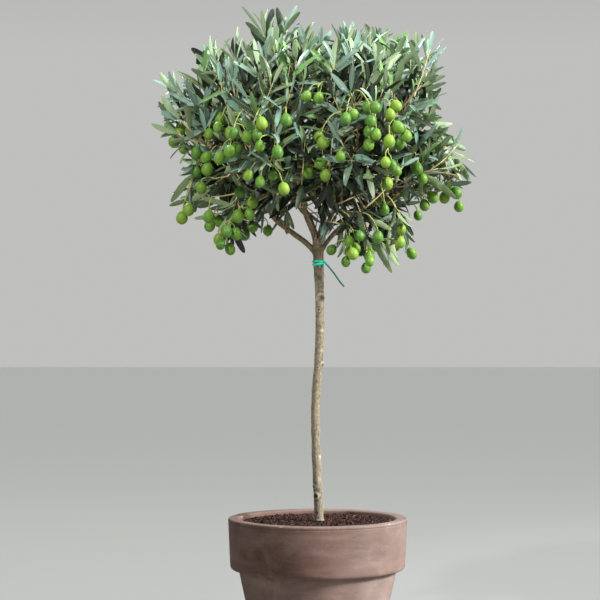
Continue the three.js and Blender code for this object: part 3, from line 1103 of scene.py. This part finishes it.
def tubes_mesh(name, runs):
    """One mesh of many tubes, each given as its line, radii, number of sides and slot."""
    tubes, first = [], 0
    for line, radii, sides, slot in runs:
        points = tube_points(np.asarray(line), radii, sides)
        quads, caps = tube_faces(len(line), sides)
        slots = (np.full(len(faces), slot) for faces in (quads, caps))
        tubes.append((points, quads + first, caps + first, *slots))
        first += len(points)
    points, quads, caps, *slots = (np.concatenate(part) for part in zip(*tubes))
    return joined_mesh(name, points, [quads, caps], slots)


TIP_RADIUS = 0.8 * MM
WOODY_RADIUS = 0.95 * MM
SHOOT_RADII = [1.25 * MM, 1.1 * MM, 0.65 * MM]


def build_twigs(settings):
    """The branches that carry something, and the shoots, as far as they have leaves or bear olives."""
    shoots, branches, owners = crown_plan()
    leafy = leaf_plan()[3]
    bearing = olive_plan()[4]
    shown = [i for i in range(len(owners)) if leafy[i] or i in bearing]
    radii = branches.thickness(owners[shown], TIP_RADIUS, olive_plan()[5])
    runs = []
    for line, width in branches.limbs(radii):
        if len(line) > 3:
            middle = (line[:-2] + 2 * line[1:-1] + line[2:]) / 4
            line = np.vstack([line[:1], middle, line[-1:]])
        runs.append((line, width, 7, int(width[0] > WOODY_RADIUS)))
    for i in shown:
        line = shoots.lines[i] if leafy[i] else shoots.lines[i][: bearing[i] + 1]
        full = np.vstack([branches.places[owners[i]], line])
        width = np.interp(np.linspace(0, 1, len(full)), [0, 0.2, 1], SHOOT_RADII)
        runs.append((full, width, 5, 0))
    finishes = [twig_finish("young_twig", settings.twig_young), twig_finish("older_twig", settings.twig_old)]
    piece("twigs", tubes_mesh("twigs", runs), finishes)


# Upper sides, midrib, then undersides: name, colour, roughness, gloss. The shaded greens are painted shade
# for leaves inside the crown.
LEAF_FINISHES = [
    ("leaf_blue_grey", (0.42, 0.52, 0.48), 0.36, 0.5),
    ("leaf_deep", (0.29, 0.37, 0.31), 0.34, 0.55),
    ("leaf_olive", (0.42, 0.49, 0.33), 0.38, 0.5),
    ("leaf_fresh", (0.43, 0.60, 0.33), 0.36, 0.45),
    ("leaf_teal", (0.46, 0.60, 0.55), 0.38, 0.45),
    ("leaf_shaded", (0.12, 0.165, 0.115), 0.42, 0.4),
    ("leaf_midrib", (0.56, 0.63, 0.46), 0.5, 0.4),
    ("leaf_under_olive", (0.55, 0.62, 0.45), 0.60, 0.3),
    ("leaf_under_silver", (0.63, 0.71, 0.56), 0.60, 0.3),
    ("leaf_under_shaded", (0.20, 0.245, 0.165), 0.60, 0.25),
]
SHADED, MIDRIB, UNDER_OLIVE, UNDER_SILVER, UNDER_SHADED = 5, 6, 7, 8, 9
# A leaf's rows of points: how far along it they are, and how wide it is there.
STATIONS = (0.09, 0.28, 0.54, 0.80, 0.945)
HALF_WIDTHS = (0.20, 0.78, 1.0, 0.80, 0.44)
RING = 5
UNDER_MIDDLE = 3 * RING
LEAF_THICKNESS = 0.30 * MM
# Along a shoot: the distance between pairs, the share of leaves that are missing, and how far a leaf may
# stand out of the masses, on a grown shoot and on one of the sprays.
PAIR_GAP = 14 * MM
MISSING_LEAVES = 0.10
LEEWAY = 10 * MM
POSED_LEEWAY = 31 * MM
# How near a leaf may come to an olive's middle, and how near most leaves may to a low one's.
OLIVE_ROOM, LOW_OLIVE_ROOM = 8.5 * MM, 17 * MM
# A leaf in front of an olive is left out if its middle is this near, sideways and upwards, or, mostly, if
# any of it is.
VEIL_WIDTH, VEIL_HEIGHT, VEIL_EDGE = 10 * MM, 12 * MM, 8 * MM
# Most leaves are left out where they would hide the fork: this far from the axis and above the stem.
FORK_WIDTH, FORK_HEIGHT = 0.09, 0.085
MOST = 0.7
# Leaves take the painted-shade green from this depth inside the masses, and nearly all of them have it after
# this much more.
DARK_FROM, DARK_OVER, DARK_SHARE = 4 * MM, 20 * MM, 0.9


def leaf_frames(rng):
    """Foot, direction, upper side, length, green, leeway and shoot of every leaf, shoot by shoot."""
    shoots = crown_plan()[0]
    leaves = []
    for i, line in enumerate(shoots.lines):
        across, other, headings = carried_frames(line)
        height, inner, posed = shoots.height[i], shoots.inner[i], i < len(SPRAYS)
        pairs = max(4, round(shoots.reach[i] / PAIR_GAP))
        turn = rng.random() * math.pi
        droop = np.interp(height, [0, 0.35, 0.7, 1], [0.55, 0.32, 0.10, 0.0])
        large = 1.12 if posed or height > 0.7 or height < 0.4 else 1.02
        sort = spray_tone(height, inner, rng)
        for j in range(pairs):
            t = min(1.0, 1 - 0.95 * ((pairs - 1 - j + 0.3 * rng.random()) / pairs) ** 1.35)
            at = t * (len(line) - 1)
            k = min(int(at), len(line) - 2)
            foot = line[k] + (line[k + 1] - line[k]) * (at - k)
            spread = np.interp(t, [0, 0.6, 1], [58, 44, 20]) * np.interp(height, [0.5, 1], [1.0, 0.78])
            grown = np.interp(t, [0, 0.35, 0.85, 1], [0.8, 1.0, 0.92, 0.7])
            for side in (0, math.pi):
                if rng.random() < MISSING_LEAVES:
                    continue
                open_by = math.radians(spread + 8 * rng.standard_normal())
                phi = turn + side + 0.3 * rng.standard_normal()
                out = across[k] * math.cos(phi) + other[k] * math.sin(phi)
                way = headings[k] * math.cos(open_by) + out * math.sin(open_by)
                way = unit(way + np.array([0, 0, -droop * (0.5 + rng.random())]))
                upper = headings[k] * math.sin(open_by) - out * math.cos(open_by)
                upper = unit(upper - way * np.dot(upper, way))
                roll = 0.5 * rng.standard_normal()
                upper = upper * math.cos(roll) + np.cross(way, upper) * math.sin(roll)
                size = large * grown * (0.78 + 0.40 * rng.random())
                tone = sort if inner or rng.random() < 0.8 else rng.integers(0, SHADED)
                leaves.append((foot, way, upper, size, tone, POSED_LEEWAY if posed else LEEWAY, i))
            turn += math.pi / 2
    return (np.array(part) for part in zip(*leaves))


def spray_tone(height, inner, rng):
    """Which green a whole shoot has: fresh and pale at the top, darker low down, and mostly the painted-shade
    green inside.
    """
    if inner:
        shares = (0.06, 0.24, 0.00, 0.00, 0.00, 0.70)
    elif height > 0.62:
        shares = (0.36, 0.03, 0.13, 0.18, 0.30, 0.00)
    elif height > 0.36:
        shares = (0.42, 0.16, 0.12, 0.04, 0.26, 0.00)
    else:
        shares = (0.42, 0.36, 0.12, 0.02, 0.08, 0.00)
    return rng.choice(6, p=shares)


def leaf_points(feet, ways, uppers, sizes, settings, rng):
    """Every leaf's points: foot, rows of edge, rib, rib, edge and underside, and tip."""
    count = len(feet)
    side = np.cross(ways, uppers)
    length = sizes * settings.leaf_length
    width = 0.5 * settings.leaf_width * sizes**0.6 * (0.8 + 0.36 * rng.random(count))
    bend = rng.normal(0.28, 0.3, count)
    bend = np.where(np.abs(bend) < 0.02, 0.02, bend)
    fold = np.tan(rng.normal(0.32, 0.14, count))
    twist = rng.normal(0, 0.35, count)

    def midline(t):
        along = length * np.sin(bend * t) / bend
        drop = -length * (1 - np.cos(bend * t)) / bend
        return feet + ways * along[:, None] + uppers * drop[:, None]

    rows = []
    for t, share in zip(STATIONS, HALF_WIDTHS):
        centre = midline(t)
        angle = bend * t
        normal = uppers * np.cos(angle)[:, None] + ways * np.sin(angle)[:, None]
        turn = twist * t
        across = side * np.cos(turn)[:, None] + normal * np.sin(turn)[:, None]
        rise = normal * np.cos(turn)[:, None] - side * np.sin(turn)[:, None]
        half = width * share
        rib = np.minimum(0.075 * half + 0.25 * MM, 0.5 * half)
        edge, ridge = half * fold, LEAF_THICKNESS + rib * fold
        under = np.zeros(count), np.full(count, -0.45 * LEAF_THICKNESS)
        for offset, height in ((-half, edge), (-rib, ridge), (rib, ridge), (half, edge), under):
            rows.append(centre + across * offset[:, None] + rise * height[:, None])
    return np.stack([midline(0.0)] + rows + [midline(1.0)], axis=1)


def sharpen_rims(mesh, per_leaf):
    """Marks the rims of the leaves sharp, so that upper side and underside shade apart."""
    pairs = np.zeros(len(mesh.edges) * 2, np.int32)
    mesh.edges.foreach_get("vertices", pairs)
    pairs = pairs.reshape(-1, 2) % per_leaf
    rim = np.zeros(len(pairs), bool)
    for edge in (1, 4):
        rim |= np.isin(pairs, [0, *range(edge, per_leaf - 1, RING), per_leaf - 1]).all(axis=1)
    mark = mesh.attributes.new("sharp_edge", "BOOLEAN", "EDGE")
    mark.data.foreach_set("value", rim)


@functools.cache
def leaf_plan():
    """Points, green and underside of every leaf, and which shoots keep enough leaves to be shown."""
    settings = bpy.context.scene.olive_crown
    rng = np.random.default_rng(settings.seed + 1)
    feet, ways, uppers, sizes, sorts, slack, owner = leaf_frames(rng)
    points = leaf_points(feet, ways, uppers, sizes, settings, rng)
    centres = points.mean(axis=1)
    posed = owner < len(SPRAYS)
    ends = points[:, [UNDER_MIDDLE, -1]]
    outside = np.array([max(-depth_in_crown(point) for point in leaf) for leaf in ends])
    clear = outside < slack
    low_fruit = CROWN_LOW + 0.26 * CROWN_DEPTH
    luck = rng.random(len(centres))
    for olive in olive_plan()[0]:
        gaps = points - olive
        near = np.linalg.norm(gaps, axis=2).min(axis=1)
        across = np.linalg.norm(gaps[:, :, [0, 2]], axis=2).min(axis=1)
        aside, _, above = np.abs(centres - olive).T
        in_front = (centres[:, 1] < olive[1]) & (olive[1] < 0)
        veils = (aside < VEIL_WIDTH) & (above < VEIL_HEIGHT) | (across < VEIL_EDGE) & (luck < MOST)
        clear &= (near > OLIVE_ROOM) & ~(in_front & veils)
        if olive[2] < low_fruit:
            clear &= (near > LOW_OLIVE_ROOM) | (luck > 0.55) | posed
    off_axis = np.hypot(centres[:, 0], centres[:, 1])
    around_fork = (off_axis < FORK_WIDTH) & (centres[:, 2] < STEM_HIGH.z + FORK_HEIGHT)
    clear &= ~(around_fork & ~posed & (luck < MOST))
    leafy = np.bincount(owner[clear], minlength=len(crown_plan()[0].lines)) >= 4
    clear &= leafy[owner]
    # Painted shade: leaves deep inside the masses mostly get the dark shaded green.
    buried = np.clip((-outside - DARK_FROM) / DARK_OVER, 0, 1)
    sorts = np.where(rng.random(len(sorts)) < DARK_SHARE * buried, SHADED, sorts)
    high = centres[:, 2] > CROWN_LOW + (0.45 + 0.3 * rng.random(len(centres))) * CROWN_DEPTH
    underside = np.where(sorts == SHADED, UNDER_SHADED, np.where(high, UNDER_SILVER, UNDER_OLIVE))
    return points[clear], sorts[clear], underside[clear], leafy


def build_leaves(settings):
    """A piece of leaves for each quarter of the crown, in place of the masses whose middles are there."""
    points, sorts, underside, _ = leaf_plan()
    per_leaf = points.shape[1]
    quarters = np.array([quarter(centre) for centre in points.mean(axis=1)])
    finishes = [leaf_finish(*values) for values in LEAF_FINISHES]
    hidden = {}
    for node in MASS_NODES:
        low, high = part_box(node)
        hidden.setdefault(quarter((low + high) / 2), []).append(node)
    for name in sorted(hidden):
        chosen = quarters == name
        # A leaf in painted shade gets a shaded midrib as well.
        ribs = np.where(sorts[chosen] == SHADED, UNDER_SHADED, MIDRIB)
        sides = sorts[chosen], ribs, sorts[chosen], underside[chosen], underside[chosen]
        tones = np.stack(sides, axis=1)
        faces, slots = [], []
        for shape in tube_faces(len(STATIONS), RING):
            faces.append(copied_faces(shape, len(tones), per_leaf))
            slots.append(np.tile(tones, len(shape) // RING).ravel())
        mesh = joined_mesh(name, points[chosen].reshape(-1, 3), faces, slots)
        sharpen_rims(mesh, per_leaf)
        piece(name, mesh, finishes, hidden[name])


def quarter(place):
    """The name of the quarter of the crown that a place is in."""
    return f"leaves_{'front' if place[1] < 0 else 'back'}_{'left' if place[0] < 0 else 'right'}"


# ------------------------------------------------------------------ olives

# Clusters that hang at the front: x and z of the middle in millimetres, and how many olives.
CLUSTERS = [
    (-138, 808, 2), (-159, 803, 1), (-119, 792, 2), (-91, 796, 2), (-178, 776, 1), (-126, 773, 3),
    (-159, 758, 2), (-179, 751, 1), (-83, 777, 1), (-58, 768, 1), (-78, 737, 4), (-16, 743, 1),
    (-114, 718, 1), (-171, 725, 1), (-96, 704, 1), (-195, 695, 2), (-159, 682, 1), (-109, 681, 2),
    (-126, 658, 3), (-145, 647, 2), (-1, 849, 2), (5, 789, 2), (40, 819, 2), (67, 826, 3), (79, 799, 2),
    (100, 828, 2), (99, 790, 2), (119, 793, 2), (70, 779, 1), (97, 756, 2), (100, 733, 2), (14, 741, 2),
    (31, 763, 1), (146, 753, 2), (165, 711, 2), (156, 692, 1), (96, 692, 1), (122, 663, 2), (86, 652, 1),
    (51, 647, 2), (44, 626, 4), (70, 613, 3), (-144, 826, 1), (-46, 814, 1), (-76, 668, 1),
]
# How many of a shoot's points, from its foot, may bear a stalk, and how near the middles of olives, and
# those of the clusters behind, come to each other.
BEARING_POINTS = 6
OLIVE_GAP, CLUSTER_GAP = 15.8 * MM, 52 * MM
STALK_POINTS, SIDE_STALK_RADIUS = 12, 0.75 * MM
CLUSTER_SEED, OLIVE_SEED = 29, 31


@functools.cache
def olive_plan():
    """The middle, axis and size of each olive, the stalks with their radii, and what bears the stalks."""
    settings = bpy.context.scene.olive_fruit
    shoots, branches, _ = crown_plan()
    rng = np.random.default_rng(CLUSTER_SEED)
    wood = list(branches.places) + [p for line in shoots.lines for p in line[:BEARING_POINTS]]
    bearing_shoots, bearing_nodes = {}, []
    tree = search_tree(wood)
    spots = [(np.array([x * MM, front_of_crown(x * MM, z * MM), z * MM]), count) for x, z, count in CLUSTERS]
    inward = skin_samples(rng, 1500)[0] * (0.93, 0.93, 1)
    behind = [p for p in inward if p[1] > -0.02 and 0.05 < share_of_crown(p[2]) < 0.62
              and depth_in_crown(p) > 6 * MM]
    keep = spaced(behind, CLUSTER_GAP)[: settings.back_clusters]
    spots += [(behind[i], int(rng.integers(2, 5))) for i in keep]
    middles, axes, sizes, stalks = [], [], [], []
    for spot, count in spots:
        hub = spot + np.array([0, 0, (7 + 2.5 * count) * MM])
        root = hub + np.array([0, 0, 16 * MM]) - unit(spot * (1, 1, 0)) * 12 * MM
        anchor, at, _ = tree.find(Vector(root))
        anchor = np.array(anchor)
        if at < len(branches.places):
            bearing_nodes.append(at)
        else:
            shoot, step = divmod(at - len(branches.places), BEARING_POINTS)
            bearing_shoots[shoot] = max(step, bearing_shoots.get(shoot, 0))
        bow = (anchor + hub) / 2 + np.array([0, 0, 0.28 * np.linalg.norm(hub - anchor)])
        main = even_line([anchor, bow, hub + np.array([0, 0, 3 * MM]), hub], STALK_POINTS)
        stalks.append((main, np.linspace(1.15, 0.85, STALK_POINTS) * MM))
        spread = np.array([1, 0.8, 1]) * 5.2 * MM * (count - 1) ** 0.6
        for n in range(count):
            for attempt in range(60):
                middle = spot + rng.normal(0, 1, 3) * spread * (1 + 0.02 * attempt)
                if all(np.linalg.norm(middle - other) > OLIVE_GAP for other in middles[-16:]):
                    break
            size = 0.87 + 0.20 * rng.random()
            joint = main[rng.integers(7, STALK_POINTS)]
            axis = unit(unit(joint - middle) + np.array([0, 0, 0.7]) + 0.18 * rng.standard_normal(3))
            top = middle + axis * 0.485 * settings.length * size
            bend = top + axis * 0.45 * np.linalg.norm(joint - top)
            side = even_line([joint, (joint + bend) / 2, bend, top], 8)
            stalks.append((side, np.full(len(side), SIDE_STALK_RADIUS)))
            middles.append(middle)
            axes.append(axis)
            sizes.append(size)
    return np.array(middles), np.array(axes), np.array(sizes), stalks, bearing_shoots, bearing_nodes


def front_of_crown(x, z):
    """How far towards the viewer the crown reaches at a place."""
    start = Vector((x, -1, z))
    hits = [tree.ray_cast(start, Vector((0, 1, 0)))[0] for tree in masses()]
    hits = [hit.y for hit in hits if hit]
    return min(hits) + 9 * MM if hits else -70 * MM


def build_olives(settings):
    """Olives with a blunt top and a slightly pointed end, and their stalks."""
    middles, axes, sizes, stalks, _, _ = olive_plan()
    ball, *shapes = template(bmesh.ops.create_uvsphere, u_segments=16, v_segments=11, radius=0.5)
    ball[:, 2] *= 1 + 0.10 * np.abs(ball[:, 2])
    ball[:, :2] *= (1 - 0.16 * ball[:, 2:3])
    rng = np.random.default_rng(OLIVE_SEED)
    points = []
    for middle, axis, size in zip(middles, axes, sizes):
        across, other, _ = carried_frames(np.array([middle, middle + axis]))
        plump = settings.width * size * (0.94 + 0.1 * rng.random())
        local = ball * (plump, plump, settings.length * size)
        points.append(middle + local[:, :1] * across[0] + local[:, 1:2] * other[0] + local[:, 2:] * axis)
    count = len(middles)
    tones = rng.choice(3, count, p=(0.52, 0.32, 0.16))
    faces = [copied_faces(shape, count, len(ball)) for shape in shapes]
    slots = [np.repeat(tones, len(shape)) for shape in shapes]
    greens = [
        olive_finish("olive_green", (0.38, 0.545, 0.155)),
        olive_finish("olive_deep", (0.30, 0.475, 0.15)),
        olive_finish("olive_yellow", (0.475, 0.60, 0.18)),
    ]
    piece("olives", joined_mesh("olives", np.vstack(points), faces, slots), greens)
    bark = [twig_finish("stalk", (0.62, 0.66, 0.36))]
    runs = [(line, width, 6, 0) for line, width in stalks]
    piece("olive_stalks", tubes_mesh("olive_stalks", runs), bark)


# ------------------------------------------------------------------ stage


FLOOR_SIZE = 14
SPOT_CONE = 0.32
LENS, SENSOR = 122.5, 36
CAMERA_ASIDE = -26.5 * MM


def build_stage(stage):
    """A plain floor, pale surroundings, four lights and the camera."""
    bm = bmesh.new()
    bmesh.ops.create_grid(bm, x_segments=1, y_segments=1, size=FLOOR_SIZE)
    finish = Finish("pale_floor", stage.floor, 0.9, Specular_IOR_Level=0.2)
    finish.bump(finish.noise(80, 3), 0.3 * MM, 0.2)
    mesh = mesh_of(bm)
    mesh.materials.append(finish.material)
    floor = bpy.data.objects.new("floor", mesh)
    bpy.context.scene.collection.objects.link(floor)

    scene = bpy.context.scene
    scene.world = bpy.data.worlds.new("pale_surroundings")
    scene.world.use_nodes = True
    tree = scene.world.node_tree
    direction = tree.nodes.new("ShaderNodeTexCoord").outputs["Generated"]
    parts = tree.nodes.new("ShaderNodeSeparateXYZ")
    tree.links.new(direction, parts.inputs["Vector"])
    ramp = tree.nodes.new("ShaderNodeValToRGB")
    for element, rise, tone in zip(ramp.color_ramp.elements, (0.12, 0.4), (stage.horizon, stage.zenith)):
        element.position = rise
        element.color = linear(tone)
    tree.links.new(parts.outputs["Z"], ramp.inputs["Fac"])
    tree.links.new(ramp.outputs["Color"], tree.nodes["Background"].inputs["Color"])
    tree.nodes["Background"].inputs["Strength"].default_value = stage.fill
    plant = Vector((0, 0, 0.6))
    crown = Vector((0, 0, (CROWN_LOW + CROWN_HIGH) / 2))
    cool = (0.97, 1.0, 1.0)
    for name, kind, place, aim, size, power, tone in (
        ("key", "SUN", (2.6, -1.0, 2.3), plant, 0.26, stage.key, (0.98, 1.0, 1.0)),
        ("top", "AREA", (0.2, 0.5, 3.0), plant, 2.2, stage.top, (0.96, 0.99, 1.0)),
        ("front", "SPOT", (-1.2, -2.3, 2.4), crown, 0.08, stage.front, cool),
        ("back", "SPOT", (-1.2, 1.8, 2.9), crown, 0.08, 0.85 * stage.front, cool),
    ):
        light = bpy.data.lights.new(name, kind)
        setattr(light, {"SUN": "angle", "AREA": "size", "SPOT": "shadow_soft_size"}[kind], size)
        if kind == "SPOT":
            light.spot_size = SPOT_CONE
            light.spot_blend = 1.0
        light.energy = power
        light.color = tone
        lamp = bpy.data.objects.new(name, light)
        lamp.location = place
        lamp.rotation_euler = (aim - Vector(place)).to_track_quat("-Z", "Y").to_euler()
        scene.collection.objects.link(lamp)

    lens = bpy.data.cameras.new("camera")
    lens.lens = LENS
    lens.sensor_width = SENSOR
    camera = bpy.data.objects.new("camera", lens)
    camera.location = (CAMERA_ASIDE, -stage.distance, stage.height)
    camera.rotation_euler = (math.pi / 2, 0, 0)
    scene.collection.objects.link(camera)
    scene.camera = camera
    scene.view_settings.view_transform = "Standard"


# ------------------------------------------------------------------ operators


class OLIVE_OT_pot(bpy.types.Operator):
    """Builds the clay pot and the soil in it"""

    bl_idname = "olive.pot"
    bl_label = "Pot and Soil"

    def execute(self, context):
        build_pot(context.scene.olive_pot)
        build_soil(context.scene.olive_pot)
        return {"FINISHED"}


class OLIVE_OT_stem(bpy.types.Operator):
    """Builds the stem with its boughs, bark and knots"""

    bl_idname = "olive.stem"
    bl_label = "Stem and Boughs"

    def execute(self, context):
        build_stem(context.scene.olive_stem)
        return {"FINISHED"}


class OLIVE_OT_tie(bpy.types.Operator):
    """Builds the garden tie under the fork"""

    bl_idname = "olive.tie"
    bl_label = "Garden Tie"

    def execute(self, context):
        build_tie(context.scene.olive_stem)
        return {"FINISHED"}


class OLIVE_OT_twigs(bpy.types.Operator):
    """Grows the branches and twigs from the boughs"""

    bl_idname = "olive.twigs"
    bl_label = "Twigs"

    def execute(self, context):
        build_twigs(context.scene.olive_crown)
        return {"FINISHED"}


class OLIVE_OT_leaves(bpy.types.Operator):
    """Sets the leaves along the shoots"""

    bl_idname = "olive.leaves"
    bl_label = "Leaves"

    def execute(self, context):
        build_leaves(context.scene.olive_crown)
        return {"FINISHED"}


class OLIVE_OT_olives(bpy.types.Operator):
    """Hangs the olives on their stalks"""

    bl_idname = "olive.olives"
    bl_label = "Olives"

    def execute(self, context):
        build_olives(context.scene.olive_fruit)
        return {"FINISHED"}


class OLIVE_OT_stage(bpy.types.Operator):
    """Sets up the floor, the light and the camera"""

    bl_idname = "olive.stage"
    bl_label = "Stage"

    def execute(self, context):
        build_stage(context.scene.olive_stage)
        return {"FINISHED"}


class OLIVE_PT_sidebar(bpy.types.Panel):
    """Every piece of the plant, with its settings"""

    bl_idname = "OLIVE_PT_sidebar"
    bl_label = "Olive Tree"
    bl_space_type = "VIEW_3D"
    bl_region_type = "UI"
    bl_category = "Olive Tree"

    def draw(self, context):
        for operator, settings in STEPS:
            box = self.layout.box()
            box.operator(operator.bl_idname)
            values = getattr(context.scene, settings)
            for name in values.bl_rna.properties.keys():
                if name not in ("rna_type", "name"):
                    box.prop(values, name)


# Every operator in the order it runs in, with the settings it reads.
STEPS = (
    (OLIVE_OT_pot, "olive_pot"),
    (OLIVE_OT_stem, "olive_stem"),
    (OLIVE_OT_tie, "olive_stem"),
    (OLIVE_OT_twigs, "olive_crown"),
    (OLIVE_OT_leaves, "olive_crown"),
    (OLIVE_OT_olives, "olive_fruit"),
    (OLIVE_OT_stage, "olive_stage"),
)

SETTINGS = {
    "olive_pot": PotSettings,
    "olive_stem": StemSettings,
    "olive_crown": CrownSettings,
    "olive_fruit": FruitSettings,
    "olive_stage": StageSettings,
}


def register():
    for name, settings in SETTINGS.items():
        bpy.utils.register_class(settings)
        setattr(bpy.types.Scene, name, PointerProperty(type=settings))
    for operator, _ in STEPS:
        bpy.utils.register_class(operator)
    bpy.utils.register_class(OLIVE_PT_sidebar)


def unregister():
    bpy.utils.unregister_class(OLIVE_PT_sidebar)
    for operator, _ in reversed(STEPS):
        bpy.utils.unregister_class(operator)
    for name, settings in reversed(SETTINGS.items()):
        delattr(bpy.types.Scene, name)
        bpy.utils.unregister_class(settings)


def main():
    register()
    bpy.ops.olive.pot()
    bpy.ops.olive.stem()
    bpy.ops.olive.tie()
    bpy.ops.olive.twigs()
    bpy.ops.olive.leaves()
    bpy.ops.olive.olives()
    bpy.ops.olive.stage()
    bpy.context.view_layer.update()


if __name__ == "__main__":
    main()
